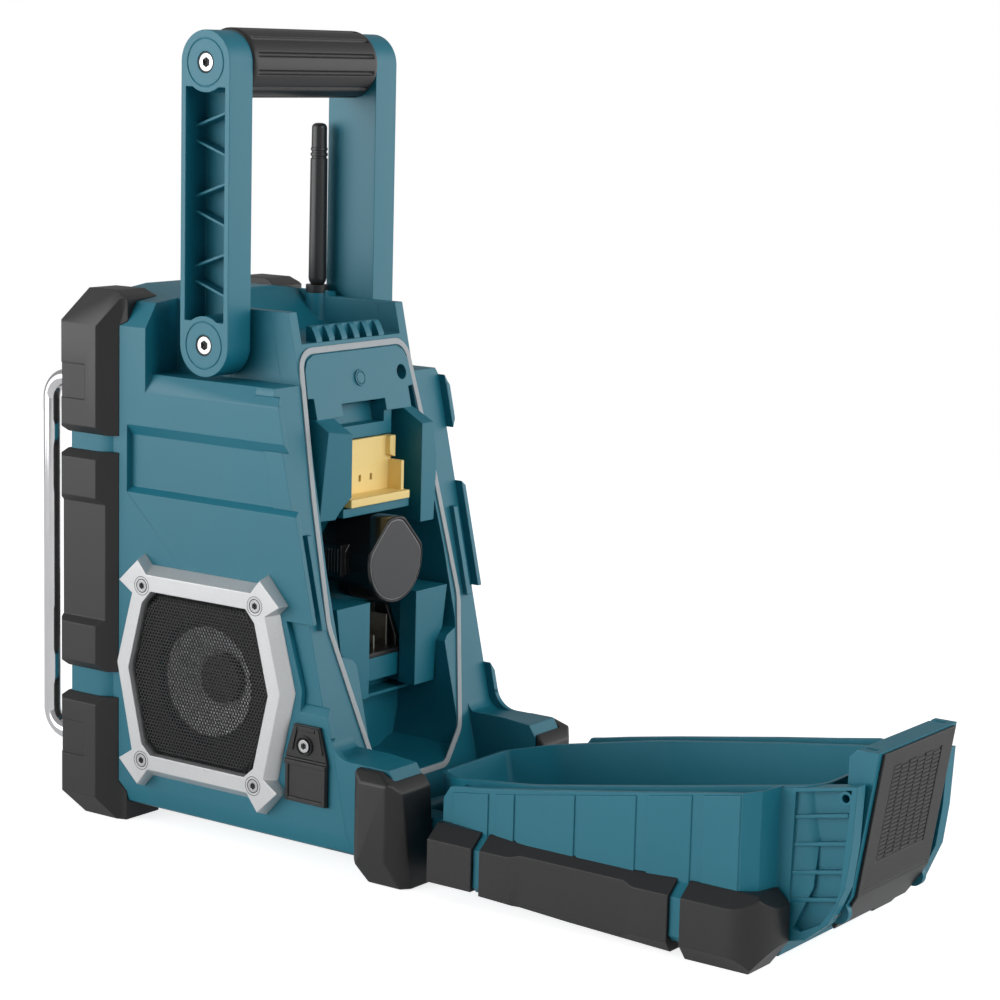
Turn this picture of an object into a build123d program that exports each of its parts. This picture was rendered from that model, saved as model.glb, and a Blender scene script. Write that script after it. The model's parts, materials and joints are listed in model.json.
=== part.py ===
from build123d import *
import math
import os

# Jobsite radio, in millimetres.
# x = 0 is the plane of symmetry and +x the right-hand side, y = 0 the front face of the corner
# bumpers with +y towards the battery bay at the rear, z = 0 the floor.  The pieces are modelled
# with the rear cover open on the floor, and moved along y together at the end, so that the
# origin is under the middle of the whole object.

# ---- housing ----
HOUSING_HALF = 73.0         # side panels
COLUMN_HALF = HOUSING_HALF + 4.0    # corner columns under the bumpers
BUMPER_HALF = HOUSING_HALF + 8.5    # outer face of the bumpers
COLUMN_FRONT = 3.3          # front of the corner columns
FASCIA_FRONT = 8.0          # recessed front wall between the columns
COLUMN_INNER = HOUSING_HALF - 27.0  # inner edge of the columns and bumpers
COLUMN_DEPTH = 25.3         # where a column's side turns in to the side panel
WALL = 3.0
BOTTOM_Z = 9.0
BEVEL_Z = 22.0              # top of the bottom bevel
SHOULDER_Z = 270.0          # where the side panels turn in towards the top
TOP_Z = 288.0
UPRIGHT_TOP_Z = 282.5       # posts beside the catch valley
STRIP_DEPTH = 3.4           # recessed strip along each side
STRIP_LOW_Z, STRIP_HIGH_Z = 184.6, 212.6
STRIP_FRONT = 42.0
POCKET_INNER = HOUSING_HALF - 25.0  # handle pockets
POCKET_FRONT = 55.0
POCKET_FLOOR_Z = 245.5
POCKET_LEDGE = 5.0          # chamfer from the pocket floor to the side panel
VALLEY_HALF = HOUSING_HALF - 31.5   # catch valley
VALLEY_FLOOR_Z = 266.0
VALLEY_FRONT, VALLEY_SLOPE = 62.0, 23.0

# ---- seal plane and rear cover hinge ----
HINGE_Y, HINGE_Z = 213.0, 27.0
SEAL_REACH = 22.96          # from the hinge axis to the seal plane
SEAL_TILT = 12.75           # lean of the seal plane, degrees
OPEN_ANGLE = 93.35          # swing of the cover from closed to lying on the floor
# Half outlines on the seal plane: x, distance up the plane, corner radius.
SEAL_OUTLINE = [(22.5, 15.0, 10.0), (40.5, 33.0, 14.0), (57.8, 104.0, 30.0), (53.8, 170.0, 60.0),
                (45.8, 248.0, 12.0)]
RIM_OUTLINE = [(28.0, 12.0, 8.0), (45.0, 33.0, 25.0), (58.5, 92.0, 60.0), (54.5, 170.0, 60.0),
               (46.5, 248.5, 12.0)]
GASKET_WIDTH, GASKET_HEIGHT = 3.3, 0.8
RIM_GAP = 0.2               # cover rim to gasket
SEAM_DEPTH = 12.0           # rear shell thickness behind the seal plane
LIP = 4.5                   # side panels stand past the seal plane
LIP_WALL = 3.0

# ---- battery bay ----
BAY_SECTION = [(20.0, 40.0), (34.5, 46.0), (38.3, 60.0), (38.3, 101.0), (41.0, 104.0), (49.5, 107.0),
               (50.5, 112.0), (50.5, 150.0), (45.0, 238.0)]
BAY_FRONT = 130.0
BAY_PROFILE = [(190.0, 40.0), (141.0, 40.5), (141.0, 72.0), (BAY_FRONT, 92.0), (BAY_FRONT, 238.0)]
BAY_WALL = 2.5
WALL_PROUD = 1.2            # plain wall above the bay, above the seal plane
BROW_HALF, BROW_Z = 40.0, 227.0
LINTEL_HALF, LINTEL_REAR = 25.0, 143.5
NOTCH_HALF, NOTCH_LOW_Z, NOTCH_HIGH_Z = 18.5, 221.0, 233.5
BOSS_Z, BOSS_OUTER = 245.7, 4.4
HOLE_X, HOLE_Z, HOLE_RADIUS = 36.2, 246.0, 4.0
GUIDE_INNER, GUIDE_OUTER = 27.0, 44.5
SLOT_OUTER = 33.0           # the left guide leaves a slot beside the cap
GUIDE_LOW_Z, GUIDE_HIGH_Z = 179.5, 227.2
GUIDE_REAR = 158.5
BLOCK_LOW_Z, BLOCK_TOP_Z = 79.0, 130.6
BLOCK_INNER, BLOCK_LIP = 24.0, 20.0
BLOCK_REAR = 166.5
SHELF_THICK = 4.6
TERMINAL_Z, TERMINAL_TOP_Z = 95.7, 121.0
TERMINAL_HALF = 23.5
TERMINAL_REAR = 155.0
SLIDE_CLEARANCE = 0.6

# ---- battery and terminal cap ----
BATTERY_RADIUS, BATTERY_Z = 23.4, 151.0
FACET_DISTANCE, FACET_ANGLE = 20.3, 44.0
BATTERY_WING = 27.0
BATTERY_FRONT, BATTERY_REAR = 132.0, 168.0
CAP_REAR, CAP_PLATE = 157.0, 145.0
CAP_TOP_Z, CAP_FLANGE_Z = 213.5, 200.4
CAP_WALL = 2.5

# ---- rear feet ----
ARM_INNER = HOUSING_HALF - 23.0
ARM_REAR = 226.0
ARM_TOP_Z = 60.0
ARM_INNER_TOP_Z = 61.5
FOOT_FRONT, FOOT_REAR = 204.0, 235.5
FOOT_TOP_Z = 59.4
PIN_RADIUS = 3.0
PIN_CLEARANCE = 0.05

# ---- corner bumpers and guard bars ----
GAP_LOW_Z = (68.0, 82.0)    # bare bands of the column between the bumpers
GAP_HIGH_Z = (202.0, 211.0)
BUMPER_DEPTH = 27.0
BUMPER_TAPER = 9.5
BUMPER_CHAMFER = 4.3
CAP_CHAMFER_IN, CAP_CHAMFER_UP = 11.0, 18.5
WAIST = 3.5                 # middle bumper, thinner in its middle
WAIST_LOW_Z, WAIST_HIGH_Z = 107.0, 177.0
BAR_RADIUS = 4.5
BAR_X, BAR_Y = 72.0, -14.5
BAR_LOW_Z, BAR_HIGH_Z = 43.0, 239.0
BAR_BEND = 12.0
PAD_HALF = 9.5
PAD_DEPTH = 1.2

# ---- speakers ----
SPEAKER_Y, SPEAKER_Z = 98.8, 86.1
BEZEL_HEIGHT = 7.0
BEZEL_SCREW = (39.4, 47.7)
GRILLE_THICK = 1.2
GRILLE_FACE = 4.5           # front of the grille above the side panel
CONE_RADIUS = 30.6
SPEAKER_HOLE = 34.0
DUST_CAP_RADIUS = 13.0
MAGNET_RADIUS = 22.0
FRAME_RADIUS = 39.0
SCREW_HEAD, SCREW_HEAD_HEIGHT = 3.4, 2.2

# ---- side port covers ----
PORT_HINGE_Z = 57.0
PORT_TOP_Z, PORT_BOTTOM_Z = 75.0, 33.5
SOCKET_Y, SOCKET_Z = 164.5, 45.0
PORT_FRONT, PORT_REAR = SOCKET_Y - 8.5, SOCKET_Y + 18.8
PORT_SCREW = (SOCKET_Y + 4.5, PORT_HINGE_Z + 7.3)
PORT_THICK = 2.2
PORT_GAP = 0.3

# ---- handle ----
PIVOT_Y, PIVOT_Z = 92.2, 263.8
ARM_RADIUS = 16.5
HANDLE_ARM_INNER, HANDLE_ARM_OUTER = HOUSING_HALF - 21.9, HOUSING_HALF - 4.1
HANDLE_REACH = 145.3
GRIP_RADIUS = 18.0
TUBE_RADIUS = 8.0
WINDOW_HALF = 13.3
WINDOW_WEB = 2.0
BOSS_RADIUS = 15.3
RIB_HEIGHT = 7.6
RIB_PITCH = 36.3
BOLT_RADIUS, BOLT_HEAD = 4.0, 4.6
RECESS_RADIUS = 5.5
HEAD_DEPTH = 3.0
RING_RADIUS = 12.2
PIVOT_BOSS_X = HANDLE_ARM_INNER - 0.3
PIVOT_BOLT_START = VALLEY_HALF + 1.5

# ---- antenna ----
ANTENNA_X, ANTENNA_Y = -43.0, 76.0
ANTENNA_RADIUS, ANTENNA_TIP_RADIUS = 5.0, 4.3
ANTENNA_FOOT_RADIUS = 6.4
ANTENNA_SEAT_Z = 284.0
ANTENNA_PIVOT_Z, ANTENNA_TOP_Z = 292.0, 377.0

# ---- front panel ----
PANEL_HALF, PANEL_LOW_Z, PANEL_HIGH_Z = 44.5, 60.0, 262.0
PANEL_FRONT = 4.0
SCREEN_HALF, SCREEN_LOW_Z, SCREEN_HIGH_Z = 34.0, 186.0, 232.0
KNOB_X, KNOB_Z, KNOB_RADIUS = 23.0, 100.0, 15.0
BUTTON_Z, BUTTON_PITCH, BUTTON_COUNT = 150.0, 15.0, 5
BUTTON_WIDTH, BUTTON_HEIGHT = 11.0, 7.0
BUTTON_TRAVEL = 1.2
AUX_Z, AUX_RADIUS = 70.0, 4.0
PANEL_HOLES = [(side * KNOB_X, KNOB_Z, PIN_RADIUS + PIN_CLEARANCE) for side in (-1, 1)]

# ---- rear cover, open pose ----
TUB_WALL = 2.5
COVER_FLOOR_Z = 4.0
SKIN_Z, SKIN_THICK = 8.0, 3.0
COVER_PLAN = [(64.0, 250.0), (64.8, 262.0), (67.3, 276.0), (69.2, 305.0), (69.2, 369.0),
              (67.5, 400.0), (67.5, 424.0), (62.0, 431.0), (50.0, 434.0)]
COVER_END = 455.5
COVER_BUMPER_HALF = HOUSING_HALF + 4.0
COVER_BUMPER_TOP = 37.6
GAP_REAR = 277.0, 282.0     # bevelled blocks between the cover's bumpers
GAP_END = 391.0, 398.0
CORNER_END, CORNER_RADIUS = 442.0, 20.0
HINGE_BAR_RADIUS, HINGE_BAR_HALF = 6.0, ARM_INNER - 0.6
RIB_SINK = 4.5
RIB_SPACING = 24.0
FIN_INNER, FIN_OUTER, FIN_POCKET = 42.0, 49.8, 4.3

# ---- latch ----
LATCH_HALF = 39.5
LATCH_Y, LATCH_Z = 461.0, 28.0
LATCH_PIN_RADIUS = 2.0
LATCH_TOP_Z = LATCH_Z + 79.0
LATCH_REACH, LATCH_LEAN = 7.3, 0.1555
PAD_WIDTH_HALF = 36.0
PAD_THICK = 1.6
RIDGE_HALF, RIDGE_TOP_Z, RIDGE_FRONT = 28.5, 274.0, 127.5
RIDGE_WALL, GUSSET, GUSSETS = 2.5, 4.6, 6

FAR = 320.0                 # larger than any piece


# ---- building blocks ----

def part(*shapes):
    """One part made of the given shapes."""
    return Part() + list(shapes)


def prism(points, travel):
    return part(Solid.extrude(Face(Wire.make_polygon(points)), Vector(travel)))


def prism_x(points, x0, x1):
    """Outline given as (y, z), drawn from x0 to x1."""
    return prism([(x0, y, z) for y, z in points], (x1 - x0, 0, 0))


def prism_y(points, y0, y1):
    """Outline given as (x, z), drawn from y0 to y1."""
    return prism([(x, y0, z) for x, z in points], (0, y1 - y0, 0))


def prism_z(points, z0, z1):
    """Outline given as (x, y), drawn from z0 to z1."""
    return prism([(x, y, z0) for x, y in points], (0, 0, z1 - z0))


def box(x0, x1, y0, y1, z0, z1):
    return prism_z([(x0, y0), (x1, y0), (x1, y1), (x0, y1)], z0, z1)


def rod(start, end, radius):
    start, end = Vector(start), Vector(end)
    plane = Plane(origin=start, z_dir=end - start)
    return part(Solid.make_cylinder(radius, (end - start).length, plane))


def rod_x(y, z, radius, x0, x1):
    return rod((x0, y, z), (x1, y, z), radius)


def ball(x, y, z, radius):
    return part(Pos(x, y, z) * Sphere(radius))


def both_ways(half):
    """Close a half outline (first number is x) across the plane of symmetry."""
    return half + [(-x, v) for x, v in reversed(half)]


def flip(shape):
    return shape.mirror(Plane.YZ)


def group(shapes):
    """Separate solids kept in one sub-part."""
    return Compound([solid for shape in shapes for solid in shape.solids()])


def hexagon_cut(x, y, z, across, depth, axis):
    """Hexagonal socket opening at the given point, going in against the axis."""
    plane = Plane(origin=(x, y, z), z_dir=-Vector(axis))
    return part(extrude(plane * RegularPolygon(across / math.sqrt(3), 6), depth))


# ---- the seal plane ----

TILT_SIN, TILT_COS = math.sin(math.radians(SEAL_TILT)), math.cos(math.radians(SEAL_TILT))


def seal_y(z, offset=0.0):
    """y of the plane that stands `offset` behind the seal plane, at height z."""
    return HINGE_Y + (offset - SEAL_REACH - (z - HINGE_Z) * TILT_SIN) / TILT_COS


def before_seal(offset=0.0):
    return prism_x([(-FAR, -FAR), (seal_y(-FAR, offset), -FAR),
                    (seal_y(2 * FAR, offset), 2 * FAR), (-FAR, 2 * FAR)], -FAR, FAR)


def seal_slab(inner, outer):
    return prism_x([(seal_y(-FAR, inner), -FAR), (seal_y(-FAR, outer), -FAR),
                    (seal_y(2 * FAR, outer), 2 * FAR), (seal_y(2 * FAR, inner), 2 * FAR)], -FAR, FAR)


def seal_plane(offset):
    foot = (0, HINGE_Y + (offset - SEAL_REACH) * TILT_COS, HINGE_Z + (offset - SEAL_REACH) * TILT_SIN)
    return Plane(origin=foot, x_dir=(-1, 0, 0), z_dir=(0, TILT_COS, TILT_SIN))


def seal_face(outline, growth):
    """An outline on the seal plane, grown outwards."""
    right = [(half, s) for half, s, radius in outline]
    radii = [radius for half, s, radius in outline]
    face = make_face(FilletPolyline(*both_ways(right), radius=radii + radii[::-1], close=True))
    return offset(face, amount=growth) if growth else face


def opened(shape):
    """Swing a shape from the closed cover's place to the open one."""
    return shape.rotate(Axis((0, HINGE_Y, HINGE_Z), (1, 0, 0)), -OPEN_ANGLE)


# ---- housing ----

HOUSING_SECTION = both_ways([
    (HOUSING_HALF - 7, BOTTOM_Z), (HOUSING_HALF - 3, BOTTOM_Z + 2), (HOUSING_HALF, BEVEL_Z),
    (HOUSING_HALF, SHOULDER_Z), (HOUSING_HALF - 8.5, TOP_Z - 5), (HOUSING_HALF - 23, TOP_Z - 3.5),
    (22, TOP_Z)])
INNER_HALF = HOUSING_HALF - STRIP_DEPTH - WALL


def handle_pocket(growth):
    """Pocket of the right handle arm, open outwards, upwards and to the rear."""
    ledge_x = HOUSING_HALF - POCKET_LEDGE
    slope = 1.9
    outer = HOUSING_HALF + 10
    section = [(POCKET_INNER - growth, POCKET_FLOOR_Z - growth), (ledge_x, POCKET_FLOOR_Z - growth),
               (outer, POCKET_FLOOR_Z - growth - slope * (outer - ledge_x)), (outer, FAR),
               (POCKET_INNER - growth, FAR)]
    return prism_y(section, POCKET_FRONT - growth, FAR)


def catch_valley(growth):
    half = VALLEY_HALF + growth
    profile = [(VALLEY_FRONT, TOP_Z - 1 - growth), (VALLEY_FRONT + VALLEY_SLOPE, VALLEY_FLOOR_Z - growth),
               (FAR, VALLEY_FLOOR_Z - growth), (FAR, FAR), (VALLEY_FRONT, FAR)]
    return prism_x(profile, -half, half)


def housing_envelope():
    """The outer shape of both shells together, without the bay and the rear arms."""
    block = prism_y(HOUSING_SECTION, FASCIA_FRONT, FAR)
    column = prism_z([(COLUMN_INNER, COLUMN_FRONT), (COLUMN_HALF - 2, COLUMN_FRONT),
                      (COLUMN_HALF, COLUMN_FRONT + 2), (COLUMN_HALF, COLUMN_DEPTH),
                      (HOUSING_HALF, COLUMN_DEPTH + 7), (COLUMN_INNER, COLUMN_DEPTH + 7)],
                     BOTTOM_Z + 4, SHOULDER_Z + 6)
    block = block + column + flip(column)
    pocket = handle_pocket(0)
    high_rear = box(-FAR, FAR, VALLEY_FRONT + VALLEY_SLOPE, FAR, UPRIGHT_TOP_Z, FAR)
    return block - pocket - flip(pocket) - catch_valley(0) - high_rear


def side_strip():
    """Recess along the right side panel."""
    bottom = HOUSING_HALF - STRIP_DEPTH
    section = [(HOUSING_HALF, STRIP_HIGH_Z + 5.4), (bottom, STRIP_HIGH_Z), (bottom, STRIP_LOW_Z),
               (HOUSING_HALF, STRIP_LOW_Z - 3), (FAR, STRIP_LOW_Z - 3), (FAR, STRIP_HIGH_Z + 5.4)]
    return prism_y(section, STRIP_FRONT, FAR)


def rear_recess():
    """Shallow recess between the bezel and the rear edge of the right side panel."""
    bottom = HOUSING_HALF - STRIP_DEPTH
    low, high = SPEAKER_Z - 5.6, SPEAKER_Z + 41
    outline = [(SPEAKER_Y + 55, high), (FAR, high), (FAR, low), (SPEAKER_Y + 65, low),
               (SPEAKER_Y + 66, SPEAKER_Z + 6)]
    section = [(bottom, high), (FAR, high), (FAR, low), (HOUSING_HALF, low), (bottom, low + 5.2)]
    return prism_x(outline, bottom, FAR) & prism_y(section, 0, FAR)


def housing_interior():
    high = TOP_Z - 5 - WALL
    section = both_ways([(INNER_HALF - 4, BOTTOM_Z + WALL), (INNER_HALF, BOTTOM_Z + WALL + 2),
                         (INNER_HALF, SHOULDER_Z - WALL), (INNER_HALF - 7, high), (20, high + 1)])
    hollow = prism_y(section, FASCIA_FRONT + WALL, FAR) & before_seal(-SEAM_DEPTH)
    pocket = handle_pocket(WALL)
    return hollow - pocket - flip(pocket) - catch_valley(WALL)


def socket_envelope(side):
    """Block of the data socket (side +1) or the power inlet (side -1), flush with the side."""
    outer = side * HOUSING_HALF
    inner = side * (HOUSING_HALF - 13)
    return box(min(outer, inner), max(outer, inner), SOCKET_Y - 6.5, SOCKET_Y + 6.5,
               SOCKET_Z - 4.5, SOCKET_Z + 4.5)


# The side panels carry on behind the seal plane as a lip, so their envelope is the long one.
ENVELOPE_LONG = housing_envelope()
ENVELOPE = ENVELOPE_LONG & before_seal()


def front_shell():
    shell = ENVELOPE & before_seal(-SEAM_DEPTH)
    lip = ENVELOPE_LONG & seal_slab(-SEAM_DEPTH, LIP)
    lip = lip - box(LIP_WALL - HOUSING_HALF, HOUSING_HALF - LIP_WALL, 0, FAR, -FAR, FAR)
    lip = lip - box(-FAR, FAR, 0, FAR, POCKET_FLOOR_Z - 8, FAR)
    shell = shell + lip - housing_interior()
    boss = rod_x(PIVOT_Y, PIVOT_Z, RING_RADIUS, POCKET_INNER - WALL, PIVOT_BOSS_X)
    bolt = rod_x(PIVOT_Y, PIVOT_Z, BOLT_RADIUS, PIVOT_BOLT_START, HANDLE_ARM_OUTER)
    foot = (ANTENNA_X, ANTENNA_Y)
    stud = rod((*foot, VALLEY_FLOOR_Z), (*foot, ANTENNA_SEAT_Z), ANTENNA_FOOT_RADIUS)
    seat = rod((*foot, ANTENNA_SEAT_Z), (*foot, TOP_Z), ANTENNA_FOOT_RADIUS + 0.2)
    shell = shell + boss + flip(boss) + stud - seat - bolt - flip(bolt)
    for cut in (side_strip(), rear_recess()):
        shell = shell - cut - flip(cut)
    hole = rod_x(SPEAKER_Y, SPEAKER_Z, SPEAKER_HOLE, HOUSING_HALF - 15, HOUSING_HALF + 1)
    shell = shell - hole - flip(hole)
    for y, z in bezel_screw_places() + [PORT_SCREW]:
        bore = rod_x(y, z, 1.6, HOUSING_HALF - 8, HOUSING_HALF + 1)
        shell = shell - bore - flip(bore)
    for side in (1, -1):
        shell = shell - socket_envelope(side)
    for x, z, radius in PANEL_HOLES:
        shell = shell - rod((x, 0, z), (x, FASCIA_FRONT + WALL + 1, z), radius)
    shell = shell - rod((0, 0, AUX_Z), (0, FASCIA_FRONT + WALL + 1, AUX_Z), AUX_RADIUS)
    return largest(shell)


def largest(shape):
    """The biggest solid of a shape, leaving slivers behind."""
    return part(max(shape.solids(), key=lambda solid: solid.volume))


def bezel_screw_places():
    dy, dz = BEZEL_SCREW
    return [(SPEAKER_Y + a * dy, SPEAKER_Z + b * dz) for a in (-1, 1) for b in (-1, 1)]


# ---- rear shell ----

def bay_cavity(growth):
    """The battery bay, open to the rear; grown, it is the outside of the bay's walls."""
    section = make_face(Polyline(*[(x, 0, z) for x, z in both_ways(BAY_SECTION)], close=True))
    rear = [(FAR, BAY_PROFILE[-1][1]), (FAR, BAY_PROFILE[0][1])]
    profile = make_face(Polyline(*[(0, y, z) for y, z in BAY_PROFILE + rear], close=True))
    if growth:
        section = offset(section, amount=growth, kind=Kind.INTERSECTION)
        profile = offset(profile, amount=growth, kind=Kind.INTERSECTION)
    along = extrude(section, amount=FAR, dir=(0, 1, 0))
    across = extrude(profile, amount=FAR / 2, both=True, dir=(1, 0, 0))
    return part(along) & part(across)


def rear_arm():
    """Right arm that carries the rear foot and the cover hinge."""
    start = seal_y(BOTTOM_Z) - SEAM_DEPTH
    side = prism_x([(start, BOTTOM_Z), (ARM_REAR - 3, BOTTOM_Z), (ARM_REAR, BOTTOM_Z + 3),
                    (ARM_REAR, ARM_TOP_Z - 6), (ARM_REAR - 4, ARM_TOP_Z), (FOOT_FRONT, ARM_INNER_TOP_Z),
                    (start, ARM_INNER_TOP_Z)], ARM_INNER, HOUSING_HALF)
    top = prism_y([(ARM_INNER, BOTTOM_Z), (HOUSING_HALF, BOTTOM_Z), (HOUSING_HALF, ARM_TOP_Z),
                   (ARM_INNER + 8, ARM_TOP_Z), (ARM_INNER, ARM_INNER_TOP_Z)], start, ARM_REAR)
    arm = side & top & prism_y(HOUSING_SECTION, 0, FAR)
    arm = arm + arm_fillet(0, 9.0, ARM_INNER, HOUSING_HALF - LIP_WALL)
    arm = arm + arm_fillet(LIP, 13.0, HOUSING_HALF - LIP_WALL, HOUSING_HALF)
    return arm - (before_seal(LIP) & box(HOUSING_HALF - LIP_WALL, FAR, 0, FAR, -FAR, FAR))


def arm_fillet(proud, radius, x0, x1):
    """Concave corner between the arm's top and the plane that stands `proud` of the seal."""
    z = ARM_TOP_Z + radius
    y = seal_y(z, proud + radius)
    touch = (y - radius * TILT_COS, z - radius * TILT_SIN)
    corner = prism_x([(touch[0] - 2, touch[1]), touch, (y, z), (y, ARM_TOP_Z), (y, ARM_TOP_Z - 1),
                      (seal_y(ARM_TOP_Z, proud) - 2, ARM_TOP_Z - 1)], x0, x1)
    return corner - rod_x(y, z, radius, x0 - 1, x1 + 1)


def gusset_places():
    pitch = (2 * RIDGE_HALF - GUSSET) / (GUSSETS - 1)
    return [GUSSET / 2 - RIDGE_HALF + i * pitch for i in range(GUSSETS)]


def ridge():
    """Catch ridge across the valley, with bowed gussets behind it."""
    foot, floor, top, back = seal_y(VALLEY_FLOOR_Z), VALLEY_FLOOR_Z, RIDGE_TOP_Z, RIDGE_FRONT + RIDGE_WALL
    wall = box(-RIDGE_HALF, RIDGE_HALF, RIDGE_FRONT, back, floor - 1, top)
    bow = [(back - 1, floor - 1), (foot - 0.5, floor - 1), (foot - 0.8, floor + 1.5), (foot - 2.6, floor + 5),
           (back + 1, top - 0.4), (back - 1, top)]
    gusset = prism_x(bow, -GUSSET / 2, GUSSET / 2)
    return part(wall, *[Pos(x, 0, 0) * gusset for x in gusset_places()])


def ridge_pockets():
    """Hollows between the gussets, down into the shell."""
    places = gusset_places()
    return part(*[box(a + GUSSET / 2, b - GUSSET / 2, RIDGE_FRONT + RIDGE_WALL, seal_y(VALLEY_FLOOR_Z) - 1.2,
                      VALLEY_FLOOR_Z - 4.5, FAR) for a, b in zip(places, places[1:])])


def upper_wall():
    """Plain wall over the bay with its brow, lintel and screw boss."""
    outline = [(BROW_HALF, BROW_Z), (BROW_HALF, BAY_SECTION[-1][1]), (44.8, 238.5), (43.3, 252.5),
               (40.6, 257.6), (34.9, 260.2)]
    wall = prism_y(both_ways(outline), 0, FAR) & seal_slab(-6, WALL_PROUD)
    lintel = box(-LINTEL_HALF, LINTEL_HALF, BAY_FRONT - 1, LINTEL_REAR, CAP_TOP_Z + SLIDE_CLEARANCE,
                 BROW_Z + 4)
    notch = box(-NOTCH_HALF, NOTCH_HALF, 0, FAR, NOTCH_LOW_Z, NOTCH_HIGH_Z) & seal_slab(-10, 10)
    base = Vector(0, seal_y(BOSS_Z, WALL_PROUD), BOSS_Z)
    out = Vector(0, TILT_COS, TILT_SIN)
    boss = rod(base - out, base + out * 0.8, BOSS_OUTER)
    groove = rod(base + out * 0.3, base + out * 2, BOSS_OUTER - 0.8)
    groove = groove - rod(base, base + out * 3, BOSS_OUTER - 1.3)
    hole = rod((-HOLE_X, seal_y(HOLE_Z, -7), HOLE_Z), (-HOLE_X, seal_y(HOLE_Z, 5), HOLE_Z), HOLE_RADIUS)
    return part(wall, lintel) - notch + (boss - groove), hole


def cap_guides():
    """Guide blocks beside the cap; the left one stands off it and leaves a slot."""
    low = GUIDE_LOW_Z - 4
    side = prism_x([(BAY_FRONT - 1, 160), (GUIDE_REAR, 160), (GUIDE_REAR, GUIDE_HIGH_Z - 7.5),
                    (GUIDE_REAR - 13.4, GUIDE_HIGH_Z), (BAY_FRONT - 1, GUIDE_HIGH_Z)], -FAR, FAR)
    plan = prism_z([(GUIDE_INNER, 0), (GUIDE_INNER, GUIDE_REAR), (GUIDE_OUTER + 3, GUIDE_REAR - 5),
                    (GUIDE_OUTER + 3, 0)], 0, FAR)
    face = prism_y([(GUIDE_INNER, low), (GUIDE_OUTER + 2.3, low), (GUIDE_OUTER + 2.3, low + 2.5),
                    (GUIDE_OUTER, low + 22), (GUIDE_OUTER - 3, GUIDE_HIGH_Z), (GUIDE_INNER, GUIDE_HIGH_Z)],
                   0, FAR)
    right = (side & plan & face) - rod((0, 0, BATTERY_Z), (0, FAR, BATTERY_Z), 44.5)
    left = prism_y([(-SLOT_OUTER, 166), (-GUIDE_OUTER, 166), (-GUIDE_OUTER - 2, 200), (2 - GUIDE_OUTER, 222),
                    (3 - GUIDE_OUTER, GUIDE_HIGH_Z), (-SLOT_OUTER, GUIDE_HIGH_Z)], 0, FAR)
    return part(right, left & side)


def battery_supports():
    """Right block beside the terminals, with a lip in front of them."""
    outer = [(BAY_SECTION[2][0] - 1.3, BLOCK_LOW_Z), (BAY_SECTION[3][0] + 0.2, 101), (44, 107),
             (47.6, BLOCK_TOP_Z)]

    def block(inner, front):
        return prism_y([(inner, BLOCK_LOW_Z)] + outer + [(inner, BLOCK_TOP_Z)], front, BLOCK_REAR)
    return block(BLOCK_INNER, BAY_FRONT - 1) + block(BLOCK_LIP, TERMINAL_REAR + SLIDE_CLEARANCE)


def rear_shell():
    inside = HOUSING_HALF - LIP_WALL
    slab = ENVELOPE & seal_slab(-SEAM_DEPTH, 0) & box(-inside, inside, 0, FAR, -FAR, FAR)
    walls = bay_cavity(BAY_WALL) & before_seal(-1) & box(-inside, inside, 0, FAR, 0, VALLEY_FLOOR_Z - 8)
    rail = prism_y([(61, 123), (64.5, 123), (64.5, 171), (61, 171)], 0, FAR) & seal_slab(-3, 3)
    shell = slab + walls + rail + flip(rail) + ridge() - ridge_pockets() - bay_cavity(0)
    wall, hole = upper_wall()
    block = battery_supports()
    width, low = BLOCK_INNER + 8, BLOCK_LOW_Z - 4.5
    step = box(-BLOCK_INNER - 1, BLOCK_INNER + 1, BAY_FRONT - 1, TERMINAL_REAR - 0.5, TERMINAL_Z - 12.3,
               TERMINAL_Z)
    bar = box(-width, width, BAY_FRONT + 2, TERMINAL_REAR - 1, low, low + 1.7)
    bar_foot = box(-width, width, BAY_FRONT + 2, BAY_PROFILE[1][0] + 1, low, TERMINAL_Z - 10)
    shelf = box(-GUIDE_INNER - 1, GUIDE_INNER + 1, BAY_FRONT - 1, GUIDE_REAR - 4.5,
                GUIDE_LOW_Z - SHELF_THICK, GUIDE_LOW_Z)
    shell = part(shell, wall, cap_guides(), block, flip(block), step, bar, bar_foot, shelf) - hole
    arm = rear_arm()
    pin = rod_x(HINGE_Y, HINGE_Z, PIN_RADIUS + PIN_CLEARANCE, 0, HOUSING_HALF - 2)
    shell = shell + arm + flip(arm) - pin - flip(pin)
    for screw in shell_screws(PIN_CLEARANCE):
        shell = shell - screw
    bore = rod_x(*PORT_SCREW, 1.6, HOUSING_HALF - 8, HOUSING_HALF + 1)
    shell = shell - bore - flip(bore)
    for side in (1, -1):
        shell = shell - socket_envelope(side)
    return largest(shell)


def shell_screws(growth):
    """Two screws square to the seal plane, in the boss and in the deep hole, and two from below."""
    inward = Vector(0, -TILT_COS, -TILT_SIN)
    places = [(Vector(0, seal_y(BOSS_Z, WALL_PROUD + 0.3), BOSS_Z), inward, 2.2),
              (Vector(-HOLE_X, seal_y(HOLE_Z, -7), HOLE_Z), inward, 3.0)]
    y = seal_y(BOTTOM_Z, -SEAM_DEPTH / 2)
    places += [(Vector(x, y, BOTTOM_Z), Vector(0, 0, 1), 3.0) for x in (-45, 45)]
    return [part(rod(start, start + way * 3, head + growth), rod(start, start + way * 10, 1.5 + growth))
            for start, way, head in places]


def gasket():
    ring = seal_face(SEAL_OUTLINE, 0) - seal_face(SEAL_OUTLINE, -GASKET_WIDTH)
    return part(extrude(seal_plane(0) * ring, GASKET_HEIGHT))


# ---- bumpers, bars and feet ----

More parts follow.
